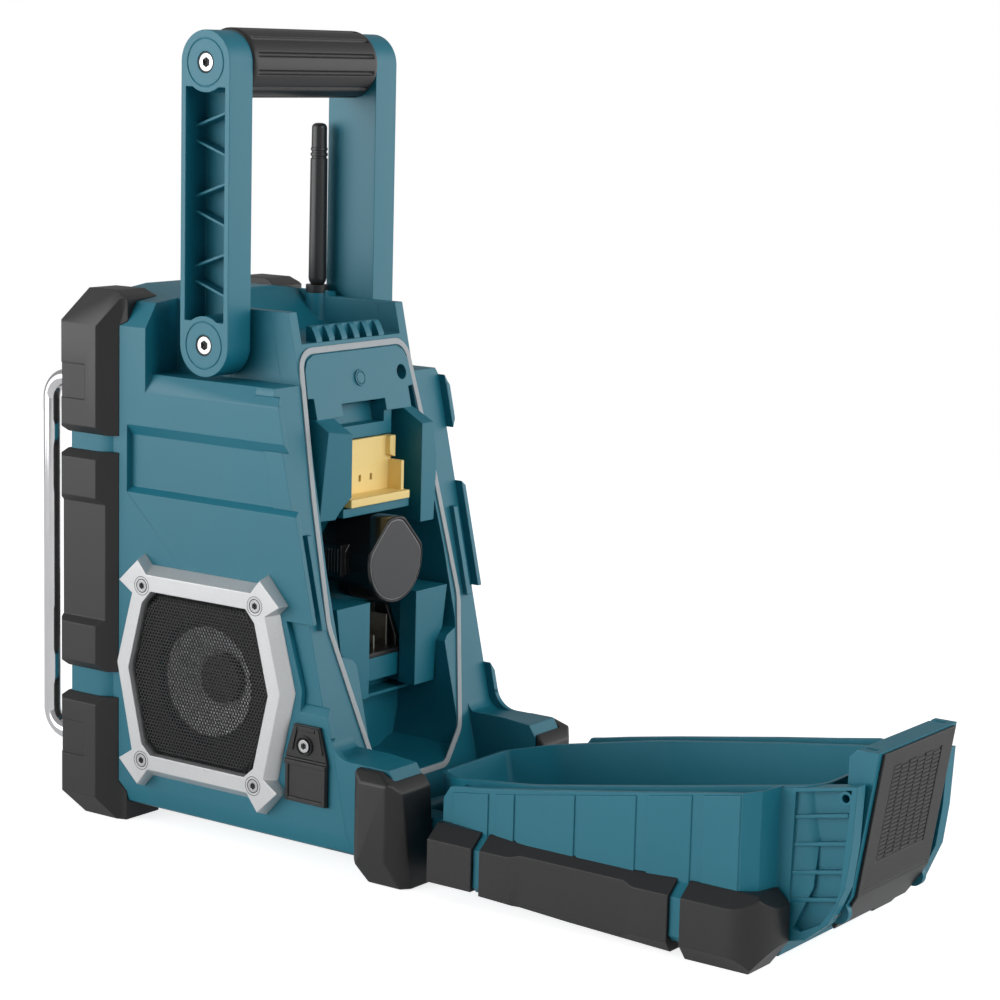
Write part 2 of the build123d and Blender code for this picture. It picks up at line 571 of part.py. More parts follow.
def bumper(low, high, side_profile, front_profile, depth):
    """Right corner bumper: a block round the column, shaped in both side views."""
    taper = (BUMPER_DEPTH, BUMPER_DEPTH + BUMPER_TAPER)
    plan = [(COLUMN_INNER, 0), (BUMPER_HALF - 2, 0), (BUMPER_HALF, 2), (BUMPER_HALF, taper[0]),
            (HOUSING_HALF, taper[1]), (HOUSING_HALF - 1.5, depth), (COLUMN_INNER, depth)]
    block = prism_z(plan, low, high) & prism_y(front_profile, -1, FAR)
    return block & prism_x(side_profile, 0, BUMPER_HALF + 1)


def bar_pad(z):
    recess = box(BAR_X - 12, FAR, -1, PAD_DEPTH, z - PAD_HALF, z + PAD_HALF)
    return recess + box(BUMPER_HALF - PAD_DEPTH, FAR, -1, BUMPER_DEPTH - 8, z - PAD_HALF, z + PAD_HALF)


def corner_bumpers():
    c, inner, outer = BUMPER_CHAMFER, COLUMN_INNER, BUMPER_HALF
    cap_z = TOP_Z - CAP_CHAMFER_UP
    long_depth = BUMPER_DEPTH + BUMPER_TAPER + 4.5
    upper = bumper(
        GAP_HIGH_Z[1], TOP_Z + 0.5,
        [(3, GAP_HIGH_Z[1]), (0, GAP_HIGH_Z[1] + 3), (0, cap_z), (12, TOP_Z + 0.5), (33, TOP_Z + 0.5),
         (long_depth, TOP_Z - 3.5), (long_depth, GAP_HIGH_Z[1])],
        [(inner, GAP_HIGH_Z[1]), (outer - c, GAP_HIGH_Z[1]), (outer, GAP_HIGH_Z[1] + c), (outer, cap_z),
         (outer - CAP_CHAMFER_IN, TOP_Z + 0.5), (inner + 4, TOP_Z + 0.5), (inner, TOP_Z - 10)], long_depth)
    middle = bumper(
        GAP_LOW_Z[1], GAP_HIGH_Z[0],
        [(3, GAP_LOW_Z[1]), (0, GAP_LOW_Z[1] + 3), (0, GAP_HIGH_Z[0] - 3), (3, GAP_HIGH_Z[0]),
         (long_depth, GAP_HIGH_Z[0]), (long_depth, GAP_LOW_Z[1])],
        [(inner, GAP_LOW_Z[1]), (outer - c, GAP_LOW_Z[1]), (outer, GAP_LOW_Z[1] + c),
         (outer, WAIST_LOW_Z), (outer - WAIST, WAIST_LOW_Z + WAIST), (outer - WAIST, WAIST_HIGH_Z - WAIST),
         (outer, WAIST_HIGH_Z), (outer, GAP_HIGH_Z[0] - c), (outer - c, GAP_HIGH_Z[0]),
         (inner, GAP_HIGH_Z[0])], long_depth)
    lower = bumper(
        0, GAP_LOW_Z[0],
        [(12, 0), (0, 14), (0, GAP_LOW_Z[0] - 3), (3, GAP_LOW_Z[0]), (long_depth, GAP_LOW_Z[0]),
         (long_depth, 0)],
        [(inner, 0), (outer - 8, 0), (outer, 12), (outer, GAP_LOW_Z[0] - c), (outer - c, GAP_LOW_Z[0]),
         (inner, GAP_LOW_Z[0])], long_depth)
    bumpers = {"upper": upper - bar_pad(BAR_HIGH_Z), "middle": middle, "lower": lower - bar_pad(BAR_LOW_Z)}
    bar = guard_bar()
    return {name: largest(shape - ENVELOPE - bar) for name, shape in bumpers.items()}


def guard_bar():
    line = FilletPolyline((BAR_X, COLUMN_FRONT, BAR_LOW_Z), (BAR_X, BAR_Y, BAR_LOW_Z),
                          (BAR_X, BAR_Y, BAR_HIGH_Z), (BAR_X, COLUMN_FRONT, BAR_HIGH_Z), radius=BAR_BEND)
    plane = Plane(origin=(BAR_X, COLUMN_FRONT, BAR_LOW_Z), z_dir=(0, -1, 0))
    return part(sweep(plane * Circle(BAR_RADIUS), path=line))


def rear_foot():
    side = prism_x([(FOOT_FRONT, 12), (FOOT_FRONT + 7, 0), (FOOT_REAR, 0), (FOOT_REAR - 3.5, 50),
                    (FOOT_REAR - 7, FOOT_TOP_Z - 5), (FOOT_REAR - 16.5, FOOT_TOP_Z),
                    (FOOT_FRONT, FOOT_TOP_Z)], ARM_INNER + 0.5, BUMPER_HALF)
    front = prism_y([(ARM_INNER + 0.5, 0), (BUMPER_HALF - 7, 0), (BUMPER_HALF, 15), (BUMPER_HALF, 54),
                     (BUMPER_HALF - 5, FOOT_TOP_Z), (ARM_INNER + 0.5, FOOT_TOP_Z)], 0, FAR)
    plan = prism_z([(ARM_INNER + 0.5, FOOT_FRONT), (HOUSING_HALF + 5, FOOT_FRONT),
                    (BUMPER_HALF, FOOT_FRONT + 6), (BUMPER_HALF, FOOT_REAR - 9),
                    (BUMPER_HALF - 12, FOOT_REAR), (ARM_INNER + 0.5, FOOT_REAR)], -1, FAR)
    pin = rod_x(HINGE_Y, HINGE_Z, PIN_RADIUS + PIN_CLEARANCE, 0, HOUSING_HALF - 2)
    block = side & front & plan
    return largest(block - prism_x([(0, BOTTOM_Z), (ARM_REAR, BOTTOM_Z), (ARM_REAR, ARM_TOP_Z + 9),
                                    (0, ARM_TOP_Z + 9)], ARM_INNER, HOUSING_HALF) - pin)


# ---- speakers ----

def bezel_outline(bar_top, bar_bottom, lug, vertex, side):
    """Half outline round the speaker: lug corners and a side that comes to a vertex."""
    inner_lug, high_lug, far_lug = lug
    return [(inner_lug[0], bar_top), high_lug, far_lug, side, vertex, (side[0], -side[1]),
            (far_lug[0], -far_lug[1]), (high_lug[0], -high_lug[1]), (inner_lug[0] - 1.4, -bar_bottom)]


def on_side(half, x):
    """Wire on the right side panel from a half outline about the speaker's centre."""
    points = half + [(-y, z) for y, z in reversed(half)]
    return Wire.make_polygon([(x, SPEAKER_Y + y, SPEAKER_Z + z) for y, z in points])


FRONT_OUTLINE = bezel_outline(54, 52, ((36.3, 0), (42.4, 61.3), (55.7, 49)), (56.9, 4), (46.2, 43))
BASE_OUTLINE = bezel_outline(58.5, 57, ((38, 0), (43, 64), (56.5, 49.2)), (62.0, 4), (51.0, 44))
OPENING = [(33, 45.3), (39.3, 38.5), (48.9, 2), (39.3, -38.5), (33, -44)]
GRILLE_OUTLINE = [(28, 41.6), (37.5, 35), (46.2, 1), (37.5, -35), (28, -41.6)]


def speaker_bezel():
    base, front = HOUSING_HALF, HOUSING_HALF + BEZEL_HEIGHT
    body = part(Solid.make_loft([on_side(BASE_OUTLINE, base), on_side(FRONT_OUTLINE, front)], True))
    hole = part(Solid.extrude(Face(on_side(OPENING, base - 1)), Vector(BEZEL_HEIGHT + 2, 0, 0)))
    body = body - hole
    for y, z in bezel_screw_places():
        body = body - rod_x(y, z, 1.6, base - 1, front + 1)
        body = body - rod_x(y, z, SCREW_HEAD + 0.3, front - SCREW_HEAD_HEIGHT, front + 1)
    return body


def speaker_grille():
    """Shallow dished plate that fills the bezel's opening."""
    def dish(front):
        rim = [(y - 0.2, z * 0.995) for y, z in OPENING]
        return part(Solid.make_loft([on_side(rim, front - 3), on_side(GRILLE_OUTLINE, front)], True))
    front = HOUSING_HALF + GRILLE_FACE
    floor = on_side([(y - 0.2, z * 0.995) for y, z in OPENING], front - 3 - GRILLE_THICK)
    skirt = part(Solid.extrude(Face(floor), Vector(GRILLE_THICK, 0, 0)))
    return dish(front) + skirt - dish(front - GRILLE_THICK)


def speaker_cone():
    """Cone with its roll surround and dust cap, revolved about the speaker's axis."""
    deep = HOUSING_HALF - 18
    outer = [(HOUSING_HALF - 4.5, CONE_RADIUS + 2), (HOUSING_HALF - 2.5, CONE_RADIUS - 1),
             (HOUSING_HALF - 5.5, CONE_RADIUS - 5), (deep, DUST_CAP_RADIUS - 1),
             (HOUSING_HALF - 11, DUST_CAP_RADIUS), (HOUSING_HALF - 9, 0), (deep - 3, 0),
             (deep - 3, DUST_CAP_RADIUS - 1), (HOUSING_HALF - 7, CONE_RADIUS - 4),
             (HOUSING_HALF - 6.5, CONE_RADIUS + 2)]
    face = Face(Wire.make_polygon([(x, SPEAKER_Y, SPEAKER_Z + r) for x, r in outer]))
    return part(revolve(face, Axis((0, SPEAKER_Y, SPEAKER_Z), (1, 0, 0))))


def speaker_frame():
    wall = INNER_HALF
    deep = HOUSING_HALF - 22
    outline = [(wall, CONE_RADIUS + 2.4), (wall, FRAME_RADIUS), (wall - 3, FRAME_RADIUS),
               (deep, MAGNET_RADIUS + 2), (deep, MAGNET_RADIUS), (deep - 15, MAGNET_RADIUS), (deep - 15, 0),
               (deep - 1, 0), (deep - 1, MAGNET_RADIUS - 4), (wall - 4, CONE_RADIUS + 2.4)]
    face = Face(Wire.make_polygon([(x, SPEAKER_Y, SPEAKER_Z + r) for x, r in outline]))
    return part(revolve(face, Axis((0, SPEAKER_Y, SPEAKER_Z), (1, 0, 0))))


def socket_screw(y, z, seat):
    """Cylinder-head screw on the right side, its head's underside at x = seat."""
    head = rod_x(y, z, SCREW_HEAD, seat, seat + SCREW_HEAD_HEIGHT)
    shank = rod_x(y, z, 1.5, seat - 9, seat)
    return head + shank - hexagon_cut(seat + SCREW_HEAD_HEIGHT, y, z, 3.2, 1.4, (1, 0, 0))


def socket_screws():
    seat = HOUSING_HALF + BEZEL_HEIGHT - SCREW_HEAD_HEIGHT
    right = [socket_screw(y, z, seat) for y, z in bezel_screw_places()]
    right.append(socket_screw(*PORT_SCREW, HOUSING_HALF + PORT_THICK - 1))
    return group(right + [flip(screw) for screw in right])


# ---- port covers and sockets ----

def port_cover():
    face = HOUSING_HALF
    body = prism_x([(PORT_FRONT + 5.6, PORT_TOP_Z), (PORT_REAR - 5.2, PORT_TOP_Z),
                    (PORT_REAR, PORT_HINGE_Z + PORT_GAP), (PORT_FRONT, PORT_HINGE_Z + PORT_GAP)],
                   face, face + PORT_THICK)
    y, z = PORT_SCREW
    body = body - rod_x(y, z, 1.6, face - 1, FAR)
    return body - rod_x(y, z, SCREW_HEAD + 0.3, face + PORT_THICK - 1, FAR)


def port_flap():
    flap = box(HOUSING_HALF + 0.1, HOUSING_HALF + PORT_THICK, PORT_FRONT, PORT_REAR,
               PORT_BOTTOM_Z, PORT_HINGE_Z)
    return part(chamfer(flap.edges().filter_by(Axis.Y).group_by(Axis.X)[-1].sort_by(Axis.Z)[0], 1))


def usb_socket():
    body = socket_envelope(1)
    x = HOUSING_HALF
    mouth = box(x - 12, x + 1, SOCKET_Y - 5.6, SOCKET_Y + 5.6, SOCKET_Z - 2.4, SOCKET_Z + 2.4)
    tongue = box(x - 12.5, x - 1, SOCKET_Y - 5, SOCKET_Y + 5, SOCKET_Z, SOCKET_Z + 1.6)
    return body - mouth + tongue


def dc_socket():
    body = socket_envelope(-1)
    bore = rod_x(SOCKET_Y, SOCKET_Z, 2.9, -HOUSING_HALF - 1, -HOUSING_HALF + 11)
    pin = rod_x(SOCKET_Y, SOCKET_Z, 1.0, -HOUSING_HALF + 1, -HOUSING_HALF + 11.5)
    return body - bore + pin


# ---- front panel ----

def button_x(index):
    return (index - (BUTTON_COUNT - 1) / 2) * BUTTON_PITCH


def button_block(index, growth, y0, y1):
    x = button_x(index)
    half_w, half_h = BUTTON_WIDTH / 2 + growth, BUTTON_HEIGHT / 2 + growth
    return box(x - half_w, x + half_w, y0, y1, BUTTON_Z - half_h, BUTTON_Z + half_h)


def control_panel():
    c = 6
    half, low, high = PANEL_HALF, PANEL_LOW_Z, PANEL_HIGH_Z
    panel = prism_y(both_ways([(half - c, low), (half, low + c), (half, high - c), (half - c, high)]),
                    PANEL_FRONT, FASCIA_FRONT)
    panel = panel - box(-SCREEN_HALF, SCREEN_HALF, 0, FASCIA_FRONT + 1, SCREEN_LOW_Z, SCREEN_HIGH_Z)
    for index in range(BUTTON_COUNT):
        panel = panel - button_block(index, 0.3, 0, FASCIA_FRONT + 1)
    for x, z, radius in PANEL_HOLES:
        panel = panel - rod((x, 0, z), (x, FASCIA_FRONT + 1, z), radius)
    return panel - rod((0, 0, AUX_Z), (0, FASCIA_FRONT + 1, AUX_Z), AUX_RADIUS)


def lcd_window():
    return box(-SCREEN_HALF, SCREEN_HALF, PANEL_FRONT + 0.4, PANEL_FRONT + 1.6, SCREEN_LOW_Z, SCREEN_HIGH_Z)


def lcd_module():
    return box(1 - SCREEN_HALF, SCREEN_HALF - 1, PANEL_FRONT + 1.6, FASCIA_FRONT,
               SCREEN_LOW_Z + 1, SCREEN_HIGH_Z - 1)


def knob(x):
    cap = rod((x, PANEL_FRONT - 0.4, KNOB_Z), (x, PANEL_FRONT - 13, KNOB_Z), KNOB_RADIUS)
    cap = part(chamfer(cap.edges().sort_by(Axis.Y)[0], 1.5))
    shaft = rod((x, PANEL_FRONT - 1, KNOB_Z), (x, FASCIA_FRONT + WALL, KNOB_Z), PIN_RADIUS)
    mark = box(x - 0.8, x + 0.8, PANEL_FRONT - 14, PANEL_FRONT - 12, KNOB_Z + 6, KNOB_Z + 12)
    return cap + shaft - mark


def button(index):
    return button_block(index, 0, PANEL_FRONT - 1.5, FASCIA_FRONT - BUTTON_TRAVEL - 0.2)


def aux_socket():
    barrel = rod((0, PANEL_FRONT - 0.5, AUX_Z), (0, FASCIA_FRONT + WALL + 6, AUX_Z), AUX_RADIUS)
    return barrel - rod((0, 0, AUX_Z), (0, FASCIA_FRONT + WALL + 4, AUX_Z), 1.8)


def main_board():
    board = box(-55, 55, 38, 39.6, 130, 232)
    chips = [box(x, x + 18, 39.6, 42, z, z + 14) for x in (-40, -8, 22) for z in (150, 190)]
    return part(board, *chips)


# ---- bay contents ----

def terminal_block():
    half = TERMINAL_HALF - SLIDE_CLEARANCE
    front, rear = BAY_FRONT + 4, TERMINAL_REAR
    base = box(-half, half, front, rear, TERMINAL_Z, TERMINAL_Z + 2.8)
    back = box(-half, half, front, front + 4, TERMINAL_Z, TERMINAL_TOP_Z)
    cheek = prism_x([(front, TERMINAL_Z), (rear - 2, TERMINAL_Z), (rear - 2, TERMINAL_Z + 8),
                     (front + 12, TERMINAL_TOP_Z), (front, TERMINAL_TOP_Z)], half - 3, half)
    return base + back + cheek + flip(cheek)


def terminal_blades():
    front = BAY_FRONT + 8
    return group([box(x - 0.6, x + 0.6, front, front + 12, TERMINAL_Z + 2.8, TERMINAL_Z + 2.8 + tall)
                  for x, tall in ((-16.0, 18.0), (-5.0, 8.0), (5.0, 18.0), (16.0, 8.0))])


def battery_case():
    """Round pack drawn along y, with two flats at its shoulders and release wings at its sides."""
    front, rear, z = BATTERY_FRONT, BATTERY_REAR, BATTERY_Z
    body = rod((0, front, z), (0, rear, z), BATTERY_RADIUS)
    far = 2 * BATTERY_RADIUS
    for tilt in (90 - FACET_ANGLE, FACET_ANGLE - 90):
        body = body - (Pos(0, 0, z) * Rot(0, tilt, 0) * box(-far, far, 0, FAR, FACET_DISTANCE, far))
    body = part(chamfer(body.edges().filter_by(GeomType.CIRCLE).group_by(Axis.Y)[-1], 0.8))
    wing = box(BATTERY_RADIUS - 5, BATTERY_WING, front + 2, rear - 16, z - 8, z + 9)
    return part(body, wing, flip(wing))


def terminal_cap():
    half, reach = TERMINAL_HALF, TERMINAL_HALF + 1.5
    front, low = CAP_PLATE - CAP_WALL, GUIDE_LOW_Z + SLIDE_CLEARANCE
    plate = box(-half, half, front, CAP_PLATE, low, CAP_TOP_Z)
    ledge = box(-reach, reach, front, CAP_REAR, low, low + 4.4)
    wing = box(-half, CAP_WALL - half, front, CAP_REAR - 3, low, CAP_FLANGE_Z)
    rib = prism_y([(-half, CAP_FLANGE_Z + 1.2), (4.9 - half, CAP_FLANGE_Z + 3), (4.9 - half, CAP_TOP_Z),
                   (-half, CAP_TOP_Z)], front, CAP_PLATE + 3)
    lug = box(half - CAP_WALL, half, front, CAP_PLATE + 5, low, CAP_TOP_Z)
    slots = [box(x - 0.9, x + 0.9, 0, FAR, low + 10.5, low + 14) for x in (3.2, -6.3)]
    return part(plate, ledge, wing, rib, lug) - slots[0] - slots[1]


# ---- handle ----

GRIP_Z = PIVOT_Z + HANDLE_REACH


def handle_arm():
    inner, outer = HANDLE_ARM_INNER, HANDLE_ARM_OUTER
    web = inner + WINDOW_WEB
    bar = box(inner, outer, PIVOT_Y - ARM_RADIUS, PIVOT_Y + ARM_RADIUS, PIVOT_Z, GRIP_Z)
    bar = bar + rod_x(PIVOT_Y, PIVOT_Z, ARM_RADIUS, inner, outer)
    bar = bar + rod_x(PIVOT_Y, GRIP_Z, ARM_RADIUS, inner, outer)
    window = box(web, outer + 1, PIVOT_Y - WINDOW_HALF, PIVOT_Y + WINDOW_HALF, PIVOT_Z + 12.5, GRIP_Z - 12.5)
    for z in (PIVOT_Z, GRIP_Z):
        window = window - rod_x(PIVOT_Y, z, BOSS_RADIUS, web - 1, outer + 2)
    bar = bar - window
    for step in (1, 2, 3):
        centre = PIVOT_Z + step * RIB_PITCH
        for up in (1, -1):
            near, far = centre + up * 3.75, centre + up * 13.3
            front, rear = PIVOT_Y - WINDOW_HALF - 0.5, PIVOT_Y + WINDOW_HALF + 0.5
            rib = prism_x([(front, near - 0.8), (rear, far - 0.8), (rear, far + 0.8), (front, near + 0.8)],
                          web - 0.5, web + RIB_HEIGHT)
            bar = bar + rib
    for z, hole in ((PIVOT_Z, BOLT_RADIUS + PIN_CLEARANCE), (GRIP_Z, BOLT_RADIUS)):
        ring = rod_x(PIVOT_Y, z, RING_RADIUS + 0.3, outer - 0.5, outer + 1)
        ring = ring - rod_x(PIVOT_Y, z, RING_RADIUS - 0.3, outer - 1, outer + 2)
        bar = bar - ring - rod_x(PIVOT_Y, z, hole, inner - 1, outer + 1)
        bar = bar - rod_x(PIVOT_Y, z, RECESS_RADIUS, outer - HEAD_DEPTH - 0.1, outer + 1)
    return bar


def handle_bolt(z, start):
    seat = HANDLE_ARM_OUTER - HEAD_DEPTH
    bolt = rod_x(PIVOT_Y, z, BOLT_RADIUS, start, seat) + rod_x(PIVOT_Y, z, BOLT_HEAD, seat, seat + 2.6)
    return bolt - hexagon_cut(seat + 2.6, PIVOT_Y, z, 4.6, 2, (1, 0, 0))


def handle_bolts():
    bolt = handle_bolt(GRIP_Z, HANDLE_ARM_INNER - 12)
    return group([bolt, flip(bolt)])


def pivot_bolts():
    bolt = handle_bolt(PIVOT_Z, PIVOT_BOLT_START)
    return group([bolt, flip(bolt)])


def handle_tube():
    tube = rod_x(PIVOT_Y, GRIP_Z, TUBE_RADIUS, -HANDLE_ARM_INNER, HANDLE_ARM_INNER)
    return tube - rod_x(PIVOT_Y, GRIP_Z, BOLT_RADIUS, -HANDLE_ARM_INNER - 1, HANDLE_ARM_INNER + 1)


def handle_grip():
    grip = rod_x(PIVOT_Y, GRIP_Z, GRIP_RADIUS, -HANDLE_ARM_INNER, HANDLE_ARM_INNER)
    grip = part(chamfer(grip.edges().filter_by(GeomType.CIRCLE), 1.5))
    return grip - rod_x(PIVOT_Y, GRIP_Z, TUBE_RADIUS, -HANDLE_ARM_INNER - 1, HANDLE_ARM_INNER + 1)


# ---- antenna ----

def antenna_base():
    x, y, top = ANTENNA_X, ANTENNA_Y, ANTENNA_PIVOT_Z - 3.7
    foot = rod((x, y, ANTENNA_SEAT_Z), (x, y, top), ANTENNA_FOOT_RADIUS)
    return foot - ball(x, y, ANTENNA_PIVOT_Z, ANTENNA_RADIUS + 0.3)


def antenna_rod():
    x, y = ANTENNA_X, ANTENNA_Y
    length = ANTENNA_TOP_Z - ANTENNA_PIVOT_Z - ANTENNA_TIP_RADIUS
    taper = Solid.make_cone(ANTENNA_RADIUS, ANTENNA_TIP_RADIUS, length, Plane((x, y, ANTENNA_PIVOT_Z)))
    tip_z = ANTENNA_PIVOT_Z + length
    return part(taper, ball(x, y, ANTENNA_PIVOT_Z, ANTENNA_RADIUS), ball(x, y, tip_z, ANTENNA_TIP_RADIUS))


# ---- rear cover, in its open place ----

RIM_OFFSET = GASKET_HEIGHT + RIM_GAP


def below_rim():
    """Everything under the open cover's rim plane."""
    return opened(seal_slab(RIM_OFFSET, FAR))


def tub_solid(growth, end, floor_z):
    face = seal_plane(RIM_OFFSET) * seal_face(RIM_OUTLINE, growth)
    block = opened(part(extrude(face, FAR / 2)))
    profile = [(0, floor_z), (end - 19.5, floor_z), (end - 3.5, 40), (end, 95), (0, 95)]
    return block & prism_x(profile, -FAR, FAR)


def cover_walls():
    """Outer wall and under-skin of the right half, outside the tub."""
    outer = COVER_PLAN
    inner = [(x - TUB_WALL, min(y, COVER_PLAN[-1][1] - TUB_WALL)) for x, y in outer]
    tall = prism_z(outer + [(38, COVER_PLAN[-1][1]), (38, COVER_PLAN[0][1])], SKIN_Z, 100)
    core = prism_z(inner + [(20, COVER_PLAN[-1][1] - TUB_WALL), (20, COVER_PLAN[0][1] + TUB_WALL),
                            (inner[0][0], COVER_PLAN[0][1] + TUB_WALL)], SKIN_Z + SKIN_THICK, 101)
    shell = (tall - core) & below_rim()
    corner = prism_x([(COVER_PLAN[0][1] - 1, 58.5), (COVER_PLAN[0][1] + 6, 58.5),
                      (COVER_PLAN[0][1] - 1, 48)], 0, FAR)
    count = int((COVER_PLAN[-1][1] - COVER_PLAN[0][1] - 20) / RIB_SPACING)
    comb = [box(36, 75, COVER_PLAN[0][1] + 20 + i * RIB_SPACING, COVER_PLAN[0][1] + 22 + i * RIB_SPACING,
                SKIN_Z, 100) for i in range(count)]
    ribs = part(*comb) & prism_z(outer + [(36, COVER_PLAN[-1][1]), (36, COVER_PLAN[0][1])], SKIN_Z, 100)
    ribs = ribs & opened(seal_slab(RIM_OFFSET + RIB_SINK, FAR))
    return part(shell - corner, ribs)


def cover_blocks():
    """Bevelled blocks in the gaps between the cover's bumpers on the right."""
    out, top = COVER_BUMPER_HALF - 1.8, COVER_BUMPER_TOP - 1.6
    inner = COVER_PLAN[1][0]
    section = [(inner, SKIN_Z), (out - 3, SKIN_Z), (out, SKIN_Z + 3), (out, top - 6), (out - 7, top),
               (inner, top)]
    return part(*[prism_y(section, y0 + 0.2, y1 - 0.2) for y0, y1 in (GAP_REAR, GAP_END)])


def from_latch(points):
    """Points given from the latch's axis, as (y, z)."""
    return [(LATCH_Y + y, LATCH_Z + z) for y, z in points]


def fin():
    """Right side cheek of the latch, with its barred pocket and pin hole."""
    outline = from_latch([(-31, 54), (-27, 56.9), (12.5, 64.5), (11, 34.7), (8.4, 15.2), (0.5, -3.2),
                          (-11.1, -13), (-25, -17), (-31, -17)])
    pocket = from_latch([(-19.3, 56.5), (9.6, 62.3), (7.5, 34), (5.9, 14.7), (3.7, 7), (-3.6, -4.1),
                         (-13.9, -9.7), (-20.9, -7.8), (-19.8, 23.8)])
    window = prism_x(pocket, FIN_OUTER - FIN_POCKET, FIN_OUTER + 1)
    y, z = from_latch([(6.7, 58)])[0]
    window = window - rod_x(y, z, 3.4, 0, FAR)
    slats = [prism_x(from_latch([(-21, low - 0.9), (8, low + 4.9), (8, low + 6.7), (-21, low + 0.9)]),
                     FIN_OUTER - FIN_POCKET - 0.5, FIN_OUTER - 0.8) for low in (44.2, 30.9, 17.4, 4.2)]
    body = prism_x(outline, FIN_INNER, FIN_OUTER) & below_rim()
    body = body - window + (part(*slats) & body)
    pin = rod_x(LATCH_Y, LATCH_Z, LATCH_PIN_RADIUS + PIN_CLEARANCE, 0, FIN_OUTER - FIN_POCKET - 0.5)
    return body - pin - rod_x(y, z, 2, 0, FAR)


def cover_shell():
    outer = tub_solid(0, COVER_END, COVER_FLOOR_Z)
    inner = tub_solid(-TUB_WALL, COVER_END - TUB_WALL, COVER_FLOOR_Z + TUB_WALL)
    walls, cheek, blocks = cover_walls(), fin(), cover_blocks()
    shell = part(outer, walls, flip(walls), cheek, flip(cheek), blocks, flip(blocks))
    bar = rod_x(HINGE_Y, HINGE_Z, HINGE_BAR_RADIUS, -HINGE_BAR_HALF, HINGE_BAR_HALF)
    y, low = HINGE_Y, COVER_FLOOR_Z + 4
    web = prism_x([(y, HINGE_Z - 4), (y + 10, low), (y + 40, low), (y + 40, HINGE_Z + 6), (y, HINGE_Z + 5)],
                  36, HINGE_BAR_HALF)
    shell = part(shell, bar, web, flip(web)) - inner
    pin = rod_x(HINGE_Y, HINGE_Z, PIN_RADIUS + PIN_CLEARANCE, HINGE_BAR_HALF - 12, HINGE_BAR_HALF + 1)
    return largest(shell - pin - flip(pin))


def cover_envelope():
    ends = [(FIN_INNER - 4, COVER_END - 3), (-FIN_INNER + 4, COVER_END - 3)]
    points = COVER_PLAN + [(FIN_INNER, COVER_PLAN[-1][1]), ends[0], ends[1], (-FIN_INNER, COVER_PLAN[-1][1])]
    points = points + [(-x, y) for x, y in reversed(COVER_PLAN)]
    return prism_z(points, SKIN_Z, 100) + tub_solid(0, COVER_END, COVER_FLOOR_Z)


def cover_bumpers():
    """Three bumpers along the right edge of the cover, the last one round the corner."""
    out, top = COVER_BUMPER_HALF, COVER_BUMPER_TOP
    section = [(40, 0), (out - 6, 0), (out, 8), (out, top - 6.6), (out - 8.5, top), (40, top)]
    pieces = []
    runs = [(COVER_PLAN[0][1], GAP_REAR[0], 9.0, 9.0), (GAP_REAR[1], GAP_END[0], 8.0, 2.4)]
    for y0, y1, low, low_end in runs:
        block = prism_y(section, y0, y1) & box(out - 15, FAR, 0, 2 * FAR, 0, FAR)
        under = prism_x([(y0 - 1, -1), (y1 + 1, -1), (y1 + 1, low_end), (y0 - 1, low)], 0, FAR)
        pieces.append(block - under)
    y0, y1 = GAP_REAR[1] + 17, GAP_END[0] - 20
    pieces[1] = pieces[1] - prism_z([(out, y0), (out - 2, y0 + 6.5), (out - 2, y1 - 6), (out, y1), (FAR, y1),
                                     (FAR, y0)], -1, FAR)
    corner = prism_z([(50, GAP_END[1]), (out, GAP_END[1]), (out, CORNER_END), (50, CORNER_END)], 0, top)
    edge = max(corner.edges().filter_by(Axis.Z), key=lambda e: e.center().X + e.center().Y)
    corner = part(fillet(edge, CORNER_RADIUS)) & prism_y(section, 0, 2 * FAR)
    corner = corner & prism_x([(0, 0), (CORNER_END - 9.5, 0), (CORNER_END, 13), (CORNER_END, top - 6.6),
                               (CORNER_END - 7, top), (0, top)], 0, FAR)
    pieces.append(corner - box(0, 51, 0, 2 * FAR, -1, FAR))
    envelope, cheek = cover_envelope(), fin()
    return [largest(piece - envelope - cheek) for piece in pieces]


def hinge_pins():
    pin = rod_x(HINGE_Y, HINGE_Z, PIN_RADIUS, HINGE_BAR_HALF - 11, HOUSING_HALF - 2.5)
    return group([pin, flip(pin)])


# ---- latch, in its open-cover place ----

def latch_face(inset, z):
    """Point (y, z) of the latch's outer face, or of the plane `inset` inside it."""
    return LATCH_Y + LATCH_REACH + (z - LATCH_Z - 4.3) * LATCH_LEAN - inset, z


def latch_curl(inset):
    """Lower end of the latch's outer face, curling in under the pin."""
    return from_latch([(7.9 - inset, 8 + inset * 0.3), (3.9 - inset * 0.9, 0.8 + inset * 0.5),
                       (-3.6 - inset * 0.7, -9.6 + inset * 0.9)])


def latch_frame():
    low, high = LATCH_Z + 12, LATCH_TOP_Z
    skin, back = PAD_THICK, PAD_THICK + 3.4
    face = [latch_face(skin, high), latch_face(skin, low)] + latch_curl(skin)
    plate = prism_x([latch_face(back, low), latch_face(back, high)] + face + latch_curl(skin + 2.2)[::-1],
                    -LATCH_HALF, LATCH_HALF)
    hook = prism_x(from_latch([(6, 72.5), (14, 72.5), (14, 79), (6, 79)]), -RIDGE_HALF - 4, RIDGE_HALF + 4)
    cheek = prism_x(from_latch([(-5, -6), (-5, 6), (-2.5, 32), (2, 63), (2, 75), (6, 79)]) + face,
                    LATCH_HALF - 3.5, LATCH_HALF)
    cheek = cheek + rod_x(LATCH_Y, LATCH_Z, 5.5, LATCH_HALF - 3.5, LATCH_HALF)
    frame = plate + hook + cheek + flip(cheek)
    return frame - rod_x(LATCH_Y, LATCH_Z, LATCH_PIN_RADIUS, -FAR, FAR)


